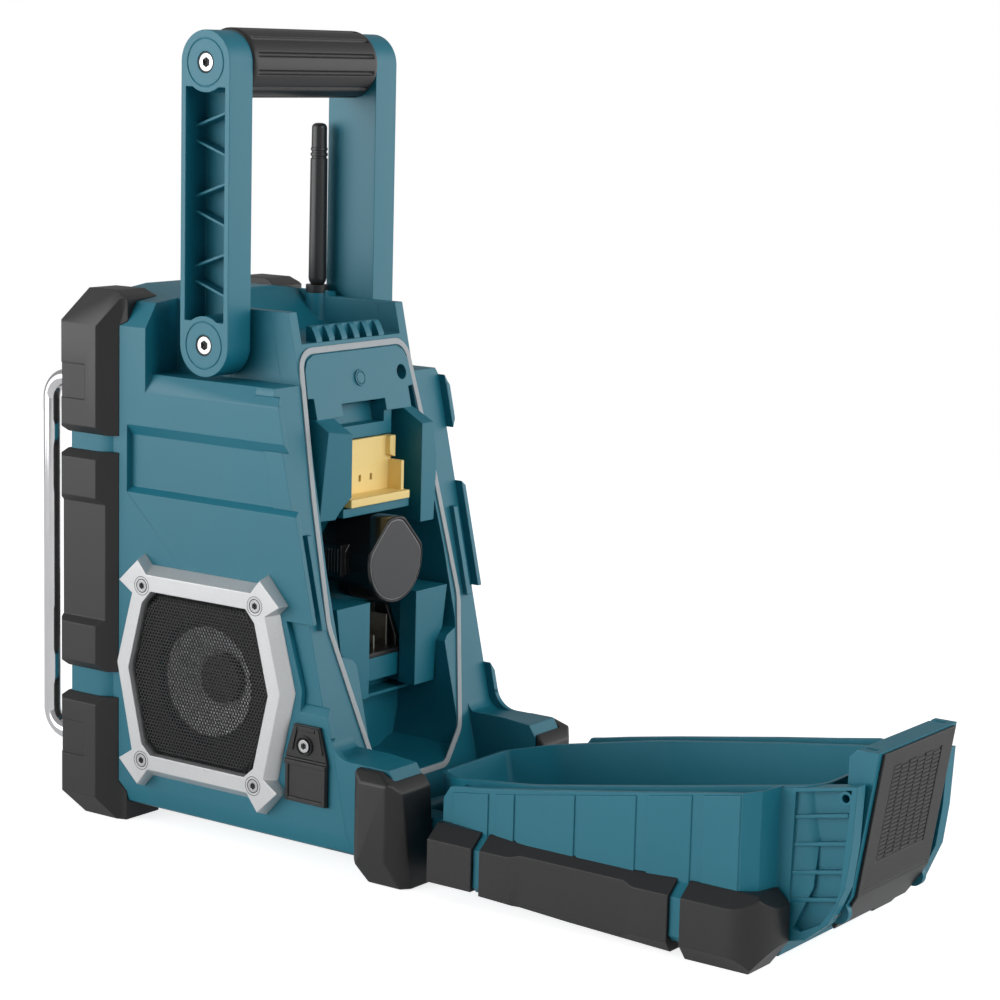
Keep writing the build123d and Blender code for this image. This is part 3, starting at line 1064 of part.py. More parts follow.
def latch_pad():
    """Soft skin over the latch's outer face."""
    low, high = LATCH_Z + 12, LATCH_TOP_Z - 1
    outline = [latch_face(PAD_THICK, high), latch_face(0, high), latch_face(0, low)] + latch_curl(0)
    skin = prism_x(outline + latch_curl(PAD_THICK)[::-1] + [latch_face(PAD_THICK, low)],
                   -PAD_WIDTH_HALF, PAD_WIDTH_HALF)
    return skin - rod_x(LATCH_Y, LATCH_Z, LATCH_PIN_RADIUS, -FAR, FAR)


def latch_pin():
    reach = FIN_OUTER - FIN_POCKET - 0.7
    return rod_x(LATCH_Y, LATCH_Z, LATCH_PIN_RADIUS, -reach, reach)


# ---- assembly ----

def all_parts():
    parts = {
        "front_shell": front_shell(), "rear_shell": rear_shell(), "gasket": gasket(),
        "guard_bar_right": guard_bar(), "guard_bar_left": flip(guard_bar()),
        "rear_foot_right": rear_foot(), "rear_foot_left": flip(rear_foot()),
        "socket_screws": socket_screws(), "main_board": main_board(),
        "terminal_block": terminal_block(), "terminal_blades": terminal_blades(),
        "battery_case": battery_case(), "terminal_cap": terminal_cap(),
        "usb_socket": usb_socket(), "dc_socket": dc_socket(), "aux_socket": aux_socket(),
        "control_panel": control_panel(), "lcd_window": lcd_window(), "lcd_module": lcd_module(),
        "knob_left": knob(-KNOB_X), "knob_right": knob(KNOB_X),
        "handle_arm_right": handle_arm(), "handle_arm_left": flip(handle_arm()),
        "handle_grip": handle_grip(), "handle_tube": handle_tube(), "handle_bolts": handle_bolts(),
        "pivot_bolts": pivot_bolts(), "antenna_base": antenna_base(), "antenna_rod": antenna_rod(),
        "cover_shell": cover_shell(), "hinge_pins": hinge_pins(),
        "latch_frame": latch_frame(), "latch_pad": latch_pad(), "latch_pin": latch_pin(),
        "shell_screws": group(shell_screws(0)),
    }
    for name, piece in corner_bumpers().items():
        parts[f"front_bumper_{name}_right"] = piece
        parts[f"front_bumper_{name}_left"] = flip(piece)
    for name, piece in (("speaker_bezel", speaker_bezel()), ("speaker_grille", speaker_grille()),
                        ("speaker_cone", speaker_cone()), ("speaker_frame", speaker_frame()),
                        ("port_cover", port_cover()), ("port_flap", port_flap())):
        parts[f"{name}_right"] = piece
        parts[f"{name}_left"] = flip(piece)
    for index in range(BUTTON_COUNT):
        parts[f"button_{index + 1}"] = button(index)
    bumpers = cover_bumpers()
    parts["cover_bumpers_right"] = group(bumpers)
    parts["cover_bumpers_left"] = group([flip(piece) for piece in bumpers])
    return parts


os.makedirs("parts", exist_ok=True)
PARTS = all_parts()
BOXES = [shape.bounding_box() for shape in PARTS.values()]
SHIFT = -(min(b.min.Y for b in BOXES) + max(b.max.Y for b in BOXES)) / 2
print("shift along y:", round(SHIFT, 4))
for node, shape in PARTS.items():
    export_step(Pos(0, SHIFT, 0) * shape, f"parts/{node}.step")
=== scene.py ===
import json
import math

import bmesh
import bpy
from mathutils import Matrix, Vector

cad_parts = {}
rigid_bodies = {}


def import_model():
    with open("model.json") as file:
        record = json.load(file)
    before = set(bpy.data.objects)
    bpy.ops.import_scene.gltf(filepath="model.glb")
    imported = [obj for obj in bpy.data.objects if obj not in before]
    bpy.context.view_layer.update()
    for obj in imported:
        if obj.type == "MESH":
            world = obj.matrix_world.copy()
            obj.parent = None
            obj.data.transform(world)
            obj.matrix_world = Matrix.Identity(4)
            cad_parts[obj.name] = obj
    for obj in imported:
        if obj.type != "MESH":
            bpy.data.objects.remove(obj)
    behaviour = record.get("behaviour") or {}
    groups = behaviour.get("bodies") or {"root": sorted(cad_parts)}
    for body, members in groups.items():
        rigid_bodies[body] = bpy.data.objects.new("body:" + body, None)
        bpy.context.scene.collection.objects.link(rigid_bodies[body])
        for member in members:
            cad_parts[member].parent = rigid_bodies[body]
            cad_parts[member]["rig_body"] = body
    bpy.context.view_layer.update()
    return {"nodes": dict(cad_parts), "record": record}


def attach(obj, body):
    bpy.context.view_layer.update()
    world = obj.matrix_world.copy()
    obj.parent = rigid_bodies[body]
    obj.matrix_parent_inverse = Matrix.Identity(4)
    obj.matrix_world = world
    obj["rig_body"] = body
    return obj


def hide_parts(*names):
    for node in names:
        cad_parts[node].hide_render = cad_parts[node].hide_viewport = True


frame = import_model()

MM = 0.001

# Places in millimetres from the front face of the bumpers, the middle plane and the floor.
SHIFT_Y = -230.38           # the model stands with its middle over the origin
SPEAKER_Y, SPEAKER_Z = 98.8, 86.1
DUST_CAP_RADIUS, CONE_RADIUS = 13.1, 29.2
HANDLE_Y, PIVOT_Z, GRIP_Z = 92.2, 263.8, 409.1
BOLT_FACE = 68.55           # x of the handle bolts' heads
ANTENNA_X, ANTENNA_Y = -43.0, 76.0
BATTERY_Z = 151.0
PORT_Y, PORT_SCREW_Z = 169.0, 64.3
PORT_FACE = 75.2            # x of the plain face of a port cover
KNOB_X, KNOB_Z, KNOB_RADIUS = 23.0, 100.0, 15.0


def at(x, y, z):
    """A point given in millimetres from the front face of the bumpers."""
    return Vector((x * MM, (y + SHIFT_Y) * MM, z * MM))


def loose(x, y, z):
    """A tile's point in millimetres, about its own origin."""
    return Vector((x * MM, y * MM, z * MM))


# ---------------------------------------------------------------- nodes

class Signal:
    """A node's socket that numbers and other sockets can be combined with."""

    def __init__(self, nodes, socket):
        self.nodes, self.socket = nodes, socket

    def _math(self, operation, first, second):
        return self.nodes.add("Math", {"operation": operation}, {0: first, 1: second})

    def __add__(self, other):
        return self._math("ADD", self, other)

    def __radd__(self, other):
        return self._math("ADD", other, self)

    def __sub__(self, other):
        return self._math("SUBTRACT", self, other)

    def __rsub__(self, other):
        return self._math("SUBTRACT", other, self)

    def __mul__(self, other):
        return self._math("MULTIPLY", self, other)

    def __rmul__(self, other):
        return self._math("MULTIPLY", other, self)

    def above(self, level, soft):
        """0 below level, 1 above level + soft."""
        return self.nodes.add("MapRange", {"clamp": True}, {
            "Value": self, "From Min": level, "From Max": level + soft, "To Min": 0.0, "To Max": 1.0})


class Nodes:
    """A node tree that one method fills; family is what its node types' names start with."""

    def __init__(self, tree, family="ShaderNode"):
        self.tree, self.family = tree, family
        tree.nodes.clear()

    def add(self, kind, settings=None, inputs=None, output=0):
        """One node: its settings first, then the values or links of its sockets."""
        node = self.tree.nodes.new(self.family + kind)
        for key, value in (settings or {}).items():
            setattr(node, key, value)
        for key, value in (inputs or {}).items():
            if isinstance(value, Signal):
                self.tree.links.new(value.socket, node.inputs[key])
            else:
                node.inputs[key].default_value = value
        return Signal(self, node.outputs[output]) if node.outputs else None

    def mix(self, factor, first, second):
        """Blend of two colours, by the numbers of a Mix node's sockets."""
        return self.add("Mix", {"data_type": "RGBA"}, {0: factor, 6: first, 7: second}, output=2)


class Finish(Nodes):
    """A node material under construction."""

    def __init__(self, name):
        self.material = bpy.data.materials.new(name)
        self.material.use_nodes = True
        super().__init__(self.material.node_tree)
        self.place = self.add("TexCoord", output="Object")

    def noise(self, scale, detail, stretch=(1, 1, 1)):
        place = self.add("Mapping", None, {"Vector": self.place, "Scale": stretch})
        return self.add("TexNoise", None, {"Vector": place, "Scale": scale, "Detail": detail})

    def bump(self, height, distance, normal=None):
        sockets = {"Strength": 1.0, "Distance": distance, "Height": height}
        if normal:
            sockets["Normal"] = normal
        return self.add("Bump", None, sockets)

    def soft_edges(self, radius):
        """The surface's normal, turned as if its edges were rounded."""
        return self.add("Bevel", {"samples": 4}, {"Radius": radius})

    def surface(self, **sockets):
        """Close with a principled shader; sockets are named as words_with_underscores."""
        named = {key.replace("_", " ").title(): value for key, value in sockets.items()}
        self.add("OutputMaterial", None, {"Surface": self.add("BsdfPrincipled", None, named)})
        return self.material


# ---------------------------------------------------------------- finishes

COLOUR_SPREAD = 0.06        # how far a moulding's colour wanders to each side
EDGE_STEP = (0.01, 0.25)    # turn of the normal at which an edge begins to count, and its softness


def rgb(r, g, b):
    return (r, g, b, 1.0)


def shaded(colour, factor, lift=0.0):
    """A darker or lighter version of a colour."""
    return rgb(*[min(1, c * factor + lift) for c in colour])


def on_edges(finish, normal):
    """Mask that is 1 where the rounded normal turns away from the flat one, on the edges."""
    flat = finish.add("NewGeometry", output="Normal")
    facing = finish.add("VectorMath", {"operation": "DOT_PRODUCT"}, {0: normal, 1: flat}, output="Value")
    return (1 - facing).above(*EDGE_STEP)


def moulded(name, colour, roughness, grain=0.00003, edge=0.0006, edge_highlight=0.25):
    """Injection-moulded plastic or rubber: fine spark-eroded grain, faint flow marks, and a painted highlight
    that lightens the rounded edges.
    """
    f = Finish(name)
    normal = f.soft_edges(edge)
    edge_mask = on_edges(f, normal)
    broad = f.noise(11, 3)
    fine = f.noise(1500, 2)
    marks = f.noise(60, 4, (1, 1, 0.25)).above(0.62, 0.2)
    body = f.mix(broad, shaded(colour, 1 - COLOUR_SPREAD * 2), shaded(colour, 1 + COLOUR_SPREAD, 0.004))
    # Painted highlight: the rounded edges are made lighter than the rest of the moulding.
    body = f.mix(edge_mask * edge_highlight, body, shaded(colour, 1.35, 0.03))
    shine = roughness + (broad - 0.5) * 0.12 + marks * 0.05 - edge_mask * 0.08
    return f.surface(base_color=body, roughness=shine, normal=f.bump(fine, grain, normal))


def metal(name, colour, roughness, brushed=0.0, metallic=1.0):
    """Bare or plated metal with handling smudges and, where asked, a brushed direction."""
    f = Finish(name)
    smudge = f.noise(45, 4).above(0.48, 0.3)
    lines = f.noise(900, 2, (1, 1, 0.03))
    body = f.mix(smudge * 0.5, rgb(*colour), shaded(colour, 0.86))
    shine = roughness + smudge * 0.07 + (lines - 0.5) * brushed
    bump = f.bump(lines, 0.00001 + brushed * 0.00004, f.soft_edges(0.0004))
    return f.surface(base_color=body, roughness=shine, metallic=metallic, normal=bump)


def silver_paint(name):
    """Silver paint with fine flake, and a painted highlight on its rounded edges."""
    f = Finish(name)
    normal = f.soft_edges(0.0006)
    edge_mask = on_edges(f, normal)
    flake = f.add("TexVoronoi", None, {"Vector": f.place, "Scale": 2600.0}, output="Color")
    grey = f.add("RGBToBW", None, {"Color": flake})
    broad = f.noise(20, 3)
    body = f.mix(grey * 0.5 + broad * 0.5, rgb(0.58, 0.59, 0.60), rgb(0.72, 0.73, 0.74))
    # Painted highlight: the rounded edges are made lighter than the rest of the paint.
    body = f.mix(edge_mask * 0.3, body, rgb(0.80, 0.81, 0.82))
    bump = f.bump(f.noise(700, 2), 0.000015, normal)
    return f.surface(base_color=body, metallic=0.45, roughness=0.34 + (broad - 0.5) * 0.1, normal=bump)


def cone_material(name):
    """Paper cone with a darker dust cap and surround, told apart by the distance from the axis."""
    f = Finish(name)
    middle = at(0, SPEAKER_Y, SPEAKER_Z)
    dy = f.add("SeparateXYZ", None, {"Vector": f.place}, output="Y") - middle.y
    dz = f.add("SeparateXYZ", None, {"Vector": f.place}, output="Z") - middle.z
    radius = f.add("Math", {"operation": "SQRT"}, {0: dy * dy + dz * dz})
    paper = f.mix(f.noise(400, 3), rgb(0.74, 0.74, 0.75), rgb(0.88, 0.88, 0.89))
    dark = f.mix(f.noise(200, 3), rgb(0.03, 0.03, 0.03), rgb(0.06, 0.06, 0.06))
    body = f.mix(radius.above(DUST_CAP_RADIUS * MM, 0.0002), dark, paper)
    body = f.mix(radius.above(CONE_RADIUS * MM, 0.0003), body, dark)
    bump = f.bump(f.noise(900, 2), 0.00008)
    return f.surface(base_color=body, roughness=0.5 + f.noise(90, 2) * 0.15, normal=bump)


TEAL = (0.004, 0.162, 0.232)
MATERIALS = {
    "housing_teal": moulded("teal_plastic", TEAL, 0.44),
    "bumper_black": moulded("black_rubber", (0.013, 0.0125, 0.013), 0.43,
                            grain=0.00006, edge=0.0009, edge_highlight=0.35),
    "bar_chrome": metal("chromed_bar", (0.72, 0.72, 0.74), 0.10),
    "gasket_grey": moulded("gasket_foam", (0.42, 0.46, 0.48), 0.7, grain=0.00008),
    "bezel_silver": silver_paint("silver_bezel"),
    "grille_steel": moulded("grille_black", (0.010, 0.010, 0.0105), 0.36, grain=0.00001),
    "screw_steel": metal("screw_steel", (0.55, 0.55, 0.56), 0.24, brushed=0.15),
    "black_plastic": moulded("black_plastic", (0.010, 0.010, 0.011), 0.36),
    "battery_black": moulded("battery_gloss", (0.008, 0.008, 0.009), 0.16, grain=0.000005),
    "cap_yellow": moulded("cap_yellow", (0.97, 0.72, 0.27), 0.42),
    "blade_brass": metal("contact_metal", (0.78, 0.74, 0.64), 0.22, brushed=0.1),
    "cone_paper": cone_material("cone_paper"),
    "frame_steel": metal("frame_steel", (0.10, 0.10, 0.10), 0.5, metallic=0.4),
    "board_green": moulded("board_mask", (0.02, 0.14, 0.06), 0.35),
    "screen_glass": moulded("screen_window", (0.02, 0.022, 0.022), 0.10, grain=0.0),
    "screen_module": moulded("screen_module", (0.22, 0.27, 0.20), 0.5),
    "antenna_black": moulded("antenna_rubber", (0.020, 0.020, 0.021), 0.33, grain=0.00001),
}
LABEL = moulded("battery_end_label", (0.036, 0.037, 0.041), 0.42, grain=0.000004, edge_highlight=0.1)
RIM_LINE = moulded("label_rim", (0.30, 0.30, 0.31), 0.4, grain=0.000004)
SEGMENTS = moulded("display_segments", (0.30, 0.36, 0.30), 0.5, grain=0.0)
# Painted shade: near-black finish for what is set into screw recesses, where shade falls.
RECESS_SHADE = moulded("painted_recess_shade", (0.006, 0.006, 0.006), 0.5, grain=0.00002, edge=0.0001, edge_highlight=0.0)
SLOT_OF = {part["node"]: part["material_slot"] for part in frame["record"]["subparts"]}
for node, cad in frame["nodes"].items():
    cad.data.materials.clear()
    cad.data.materials.append(MATERIALS[SLOT_OF[node]])


# ---------------------------------------------------------------- making pieces

def new_object(name, data):
    """A mesh, lamp or camera put into the scene."""
    piece = bpy.data.objects.new(name, data)
    bpy.context.scene.collection.objects.link(piece)
    return piece


def discard(piece):
    """Take out a throwaway object and its mesh."""
    mesh = piece.data
    bpy.data.objects.remove(piece)
    bpy.data.meshes.remove(mesh)


def evaluated(piece):
    """Apply a throwaway object's modifiers and return the plain mesh."""
    graph = bpy.context.evaluated_depsgraph_get()
    mesh = bpy.data.meshes.new_from_object(piece.evaluated_get(graph))
    discard(piece)
    return mesh


def finished(name, mesh, body, slot, *nodes):
    """A piece from a mesh in place: it rides on a body and may stand for CAD nodes."""
    piece = new_object(name, mesh)
    if not mesh.materials:
        mesh.materials.append(MATERIALS[slot])
    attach(piece, body)
    if nodes:
        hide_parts(*nodes)


def mirrored(mesh, name):
    """The same mesh on the other side of the radio."""
    other = mesh.copy()
    other.name = name
    other.transform(Matrix.Diagonal((-1, 1, 1, 1)))
    other.flip_normals()
    return other


def both_sides(name, mesh, body, slot, *nodes):
    """A right-hand piece and its mirror image; {side} in a body or a node stands for right or left."""
    for side, made in (("right", mesh), ("left", mirrored(mesh, name + "_left"))):
        finished(f"{name}_{side}", made, body.format(side=side), slot,
                 *[node.format(side=side) for node in nodes])


def wrapped(rows, steps, closed):
    """Faces between rings of points; closed joins the last ring to the first."""
    return [(r * steps + i, r * steps + (i + 1) % steps, (r + 1) % rows * steps + (i + 1) % steps,
             (r + 1) % rows * steps + i) for r in range(rows if closed else rows - 1) for i in range(steps)]


def rectangle(place, a, b):
    """Corners at -a, a and -b, b; place(a, b) gives each point."""
    return [place(-a, -b), place(a, -b), place(a, b), place(-a, b)]


class Shape:
    """Faces gathered in millimetres, in the same places as `at`."""

    def __init__(self):
        self.points, self.faces = [], []

    def add(self, points, faces):
        first = len(self.points)
        self.points += [tuple(point) for point in points]
        self.faces += [tuple(first + index for index in face) for face in faces]
        return self

    def prism(self, low, high):
        """Solid between two outlines with the same number of points."""
        n = len(low)
        caps = [tuple(range(n))[::-1], tuple(range(n, 2 * n))]
        return self.add(list(low) + list(high), caps + wrapped(2, n, closed=False))

    def box(self, x0, x1, y0, y1, z0, z1):
        return self.prism([(x0, y0, z0), (x1, y0, z0), (x1, y1, z0), (x0, y1, z0)],
                          [(x0, y0, z1), (x1, y0, z1), (x1, y1, z1), (x0, y1, z1)])

    def lathe(self, profile, place, steps, closed=False):
        """(along, radius) taken once round; place(along, radius, angle) gives the point.

        An open profile gets flat ends, and a closed one makes a ring.
        """
        points = [place(along, radius, 2 * math.pi * i / steps)
                  for along, radius in profile for i in range(steps)]
        faces = wrapped(len(profile), steps, closed)
        if not closed:
            faces += [tuple(range(steps))[::-1], tuple(range(len(points) - steps, len(points)))]
        return self.add(points, faces)

    def mesh(self, name, place=at, smooth=35):
        """A mesh whose edges are sharp where they turn by more than smooth degrees."""
        build = bmesh.new()
        verts = [build.verts.new(place(*point)) for point in self.points]
        for face in self.faces:
            build.faces.new([verts[index] for index in face])
        bmesh.ops.remove_doubles(build, verts=build.verts, dist=1e-7)
        bmesh.ops.recalc_face_normals(build, faces=build.faces)
        for face in build.faces:
            face.smooth = True
        for edge in build.edges:
            edge.smooth = edge.is_manifold and edge.calc_face_angle(0) < math.radians(smooth)
        mesh = bpy.data.meshes.new(name)
        build.to_mesh(mesh)
        build.free()
        return mesh


# ---------------------------------------------------------------- repeating a tile

def repeat_tree():
    """Puts a tile on every point of a mesh, turned as the point says, and joins the copies."""
    tree = bpy.data.node_groups.new("repeat_tile", "GeometryNodeTree")
    tree.interface.new_socket("Geometry", in_out="OUTPUT", socket_type="NodeSocketGeometry")
    kinds = {"Places": "Geometry", "Tile": "Object", "Weld": "Float", "Finish": "Material"}
    inputs = {}
    for name, kind in kinds.items():
        socket = tree.interface.new_socket(name, in_out="INPUT", socket_type="NodeSocket" + kind)
        inputs[name] = socket.identifier
    nodes = Nodes(tree, family="")
    given = {name: nodes.add("NodeGroupInput", output=name) for name in kinds}
    tile = nodes.add("GeometryNodeObjectInfo", None, {"Object": given["Tile"]}, output="Geometry")
    turn = nodes.add("GeometryNodeInputNamedAttribute", {"data_type": "FLOAT_VECTOR"}, {"Name": "turn"},
                     output="Attribute")
    angle = nodes.add("FunctionNodeEulerToRotation", None, {"Euler": turn})
    copies = nodes.add("GeometryNodeInstanceOnPoints", None, {
        "Points": given["Places"], "Instance": tile, "Rotation": angle})
    real = nodes.add("GeometryNodeRealizeInstances", None, {"Geometry": copies})
    joined = nodes.add("GeometryNodeMergeByDistance", None, {"Geometry": real, "Distance": given["Weld"]})
    painted = nodes.add("GeometryNodeSetMaterial", None, {"Geometry": joined, "Material": given["Finish"]})
    nodes.add("NodeGroupOutput", None, {0: painted})
    return tree, inputs


REPEAT, REPEAT_INPUTS = repeat_tree()


def repeated(name, tile, places, finish, turns=None, weld=0.0):
    """One plain mesh of a tile at every place; turns are angles about x, y and z."""
    mesh = bpy.data.meshes.new(name + "_places")
    mesh.from_pydata([at(*place) for place in places], [], [])
    turn = mesh.attributes.new("turn", "FLOAT_VECTOR", "POINT")
    turns = turns or [(0, 0, 0)] * len(places)
    turn.data.foreach_set("vector", [angle for one in turns for angle in one])
    host = new_object(name + "_host", mesh)
    pattern = new_object(name + "_tile", tile.mesh(name + "_tile", loose))
    modifier = host.modifiers.new("Repeat", "NODES")
    modifier.node_group = REPEAT
    modifier[REPEAT_INPUTS["Tile"]] = pattern
    modifier[REPEAT_INPUTS["Weld"]] = weld * MM
    modifier[REPEAT_INPUTS["Finish"]] = finish
    result = evaluated(host)
    result.name = name
    discard(pattern)
    if "turn" in result.attributes:
        result.attributes.remove(result.attributes["turn"])
    return result


# ---------------------------------------------------------------- main mouldings

SAME_POINT = 2e-6           # metres, within which a CAD node's loose corners are one
FLAT_ANGLE = 1.2            # degrees, below which two faces are one flat face
SHARP_ANGLE = 32            # degrees, above which an edge is rounded
# Width in millimetres of the rounding on each main moulding.
ROUNDED = {
    "front_shell": 0.8, "rear_shell": 0.6, "cover_shell": 0.6,
    "handle_arm_right": 0.9, "handle_arm_left": 0.9,
    "latch_frame": 0.8, "control_panel": 0.8, "terminal_cap": 0.4, "terminal_block": 0.5,
    "speaker_bezel_right": 0.8, "speaker_bezel_left": 0.8,
    "knob_left": 0.6, "knob_right": 0.6,
    "rear_foot_right": 1.6, "rear_foot_left": 1.6,
    "cover_bumpers_right": 1.4, "cover_bumpers_left": 1.4,
    "button_1": 0.8, "button_2": 0.8, "button_3": 0.8, "button_4": 0.8, "button_5": 0.8,
    "port_cover_right": 0.4, "port_cover_left": 0.4,
    "port_flap_right": 0.4, "port_flap_left": 0.4,
}
for level in ("upper", "middle", "lower"):
    for side in ("right", "left"):
        ROUNDED[f"front_bumper_{level}_{side}"] = 1.4


def rounded(node, width, segments=2, carve=None):
    """The CAD node's shape, carved and with its sharp edges rounded, standing in for the node."""
    cad = frame["nodes"][node]
    build = bmesh.new()
    build.from_mesh(cad.data)
    bmesh.ops.remove_doubles(build, verts=build.verts, dist=SAME_POINT)
    bmesh.ops.dissolve_limit(build, angle_limit=math.radians(FLAT_ANGLE),
                             verts=build.verts, edges=build.edges)
    mesh = bpy.data.meshes.new(node + "_source")
    build.to_mesh(mesh)
    build.free()
    scratch = new_object(node + "_scratch", mesh)
    if carve:
        cutter = new_object(node + "_cutter", carve.mesh(node + "_cutter"))
        boolean = scratch.modifiers.new("Carve", "BOOLEAN")
        boolean.object, boolean.solver = cutter, "EXACT"
    mesh.polygons.foreach_set("use_smooth", [True] * len(mesh.polygons))
    bevel = scratch.modifiers.new("Round", "BEVEL")
    bevel.width = width * MM
    bevel.segments = segments
    bevel.limit_method = "ANGLE"
    bevel.angle_limit = math.radians(SHARP_ANGLE)
    bevel.miter_outer = "MITER_ARC"
    scratch.modifiers.new("Flatten", "WEIGHTED_NORMAL").weight = 100
    result = evaluated(scratch)
    if carve:
        discard(cutter)
    result.materials.clear()
    finished(node + "_moulded", result, cad["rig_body"], SLOT_OF[node], node)


for node, width in ROUNDED.items():
    rounded(node, width)


# ---------------------------------------------------------------- end of the shoulder slope

HINGE_Y, HINGE_Z = 213, 27
SEAM_REACH = 22.96          # from the cover's hinge to the joint between the shells
SEAM_TILT = math.radians(12.75)


def behind_seam(z, offset):
    """y of the sloping joint between the shells, moved back by offset."""
    return HINGE_Y + (offset - SEAM_REACH - (z - HINGE_Z) * math.sin(SEAM_TILT)) / math.cos(SEAM_TILT)


def shoulder_corner():
    """Three-sided piece that fills the slope's end."""
    front, rear = -12.2, 4.2
    section = [(69.9, 237.3), (72.3, 237.3), (69.9, 241.88)]
    shape = Shape().prism([(x, behind_seam(z, front), z) for x, z in section],
                          [(x, behind_seam(z, rear), z) for x, z in section])
    return shape.mesh("shoulder_corner_right")


both_sides("shoulder_corner", shoulder_corner(), "housing", "housing_teal")


# ---------------------------------------------------------------- speaker grilles

# Half outlines about the speaker's middle: the bezel's opening, and the grille's flat front.
OPENING = [(33, 45.3), (39.3, 38.5), (48.9, 2), (39.3, -38.5), (33, -44)]
GRILLE_FRONT = [(28, 41.6), (37.5, 35), (46.2, 1), (37.5, -35), (28, -41.6)]
# x of the flat front, how far the sheet falls away to the bezel, and its thickness.
GRILLE_X, GRILLE_DROP, SHEET = 77.5, 3.0, 0.6
HOLE_PITCH, HOLE_RADIUS, HOLE_ROWS = 2.0, 0.76, 28      # rows to each side of the middle
HOLES_END = 0.9             # share of the drop past which the sheet ends


def whole(half):
    """Close a half outline across the speaker's upright middle, counter-clockwise from the top."""
    return [(-a, b) for a, b in half] + [(a, b) for a, b in reversed(half)]


def outside(point, start, end):
    """Distance of a point to the outer side of an outline's edge."""
    ey, ez = end[0] - start[0], end[1] - start[1]
    return ((point[0] - start[0]) * ez - (point[1] - start[1]) * ey) / math.hypot(ey, ez)


def dish_depth(y, z):
    """How far the grille has dropped at a point: 0 on its flat front, 1 at the bezel's opening."""
    drop, inner, outer = 0.0, whole(GRILLE_FRONT), whole(OPENING)
    for i in range(len(inner)):
        j = (i + 1) % len(inner)
        over = outside((y, z), inner[i], inner[j])
        if over > 0:
            room = over - outside((y, z), outer[i], outer[j])
            drop = max(drop, over / max(room, 0.5))
    return drop


def hole_tile():
    """A hexagon of sheet with a round hole; its outer points are edge middles and corners in turn."""
    corner, middle, count = HOLE_PITCH / math.sqrt(3), HOLE_PITCH / 2, 12
    ring = [(math.cos(math.radians(30 * i)), math.sin(math.radians(30 * i)), middle if i % 2 == 0 else corner)
            for i in range(count)]
    points = [(0, c * reach, s * reach) for c, s, reach in ring]
    for x in (0, -SHEET):
        points += [(x, c * HOLE_RADIUS, s * HOLE_RADIUS) for c, s, _ in ring]
    return Shape().add(points, wrapped(3, count, closed=False))


def perforated_grille():
    """Dished steel sheet with staggered round holes."""
    places = []
    for row in range(-HOLE_ROWS, HOLE_ROWS + 1):
        for column in range(-HOLE_ROWS, HOLE_ROWS + 1):
            y, z = (column + 0.5 * (row % 2)) * HOLE_PITCH, row * HOLE_PITCH * math.sqrt(3) / 2
            if dish_depth(y, z) < HOLES_END:
                places.append((GRILLE_X, SPEAKER_Y + y, SPEAKER_Z + z))
    mesh = repeated("grille_holes", hole_tile(), places, MATERIALS["grille_steel"], weld=0.02)
    for vertex in mesh.vertices:
        y, z = vertex.co.y / MM - SHIFT_Y - SPEAKER_Y, vertex.co.z / MM - SPEAKER_Z
        vertex.co.x -= GRILLE_DROP * MM * min(1.0, dish_depth(y, z))
    return mesh


both_sides("grille", perforated_grille(), "housing", "grille_steel", "speaker_grille_{side}")


# ---------------------------------------------------------------- handle grip and antenna

def fluted_grip():
    """Rubber grip with round-ended flutes, made of one flute's share of the round, repeated."""
    radius, half, depth, bore = 18.0, 51.0, 1.5, 8.2
    flutes, half_share, half_flute = 12, 15, 4.2        # the last two in degrees
    stations = [0, 8, 10.6, 11.0, 11.7, 12.8, 13.9, half_share]
    angles = sorted({-a for a in stations} | set(stations))
    # x, and how far the surface lies below the radius or, below 0, the share of a flute's depth.
    ends = [(half, 1.4), (half - 0.5, 0.5), (half - 1.4, 0.0), (48.2, 0.0), (48.0, 0.0), (47.7, -0.45),
            (47.0, -0.75), (45.8, -0.95), (44.0, -1.0)]
    rows = [(-x, d) for x, d in ends] + [(x, d) for x, d in reversed(ends)]
    points = []
    for x, d in rows:
        for angle in angles:
            across = (half_share - abs(angle)) / half_flute
            groove = math.sqrt(max(0.0, 1 - across * across))
            r = radius - d if d >= 0 else radius + d * depth * groove
            points.append((x, r * math.sin(math.radians(angle)), r * math.cos(math.radians(angle))))
    n = len(angles)
    faces = [(r * n + i, r * n + i + 1, (r + 1) * n + i + 1, (r + 1) * n + i)
             for r in range(len(rows) - 1) for i in range(n - 1)]
    for x, first in ((-half, 0), (half, (len(rows) - 1) * n)):
        inner = len(points)
        points += [(x, bore * math.sin(math.radians(a)), bore * math.cos(math.radians(a))) for a in angles]
        faces += [(first + i, first + i + 1, inner + i + 1, inner + i) for i in range(n - 1)]
    turns = [(math.radians(2 * half_share * i), 0, 0) for i in range(flutes)]
    return repeated("grip_flutes", Shape().add(points, faces), [(0, HANDLE_Y, GRIP_Z)] * flutes,
                    MATERIALS["bumper_black"], turns, weld=0.01)


finished("handle_grip_fluted", fluted_grip(), "handle", "bumper_black", "handle_grip")


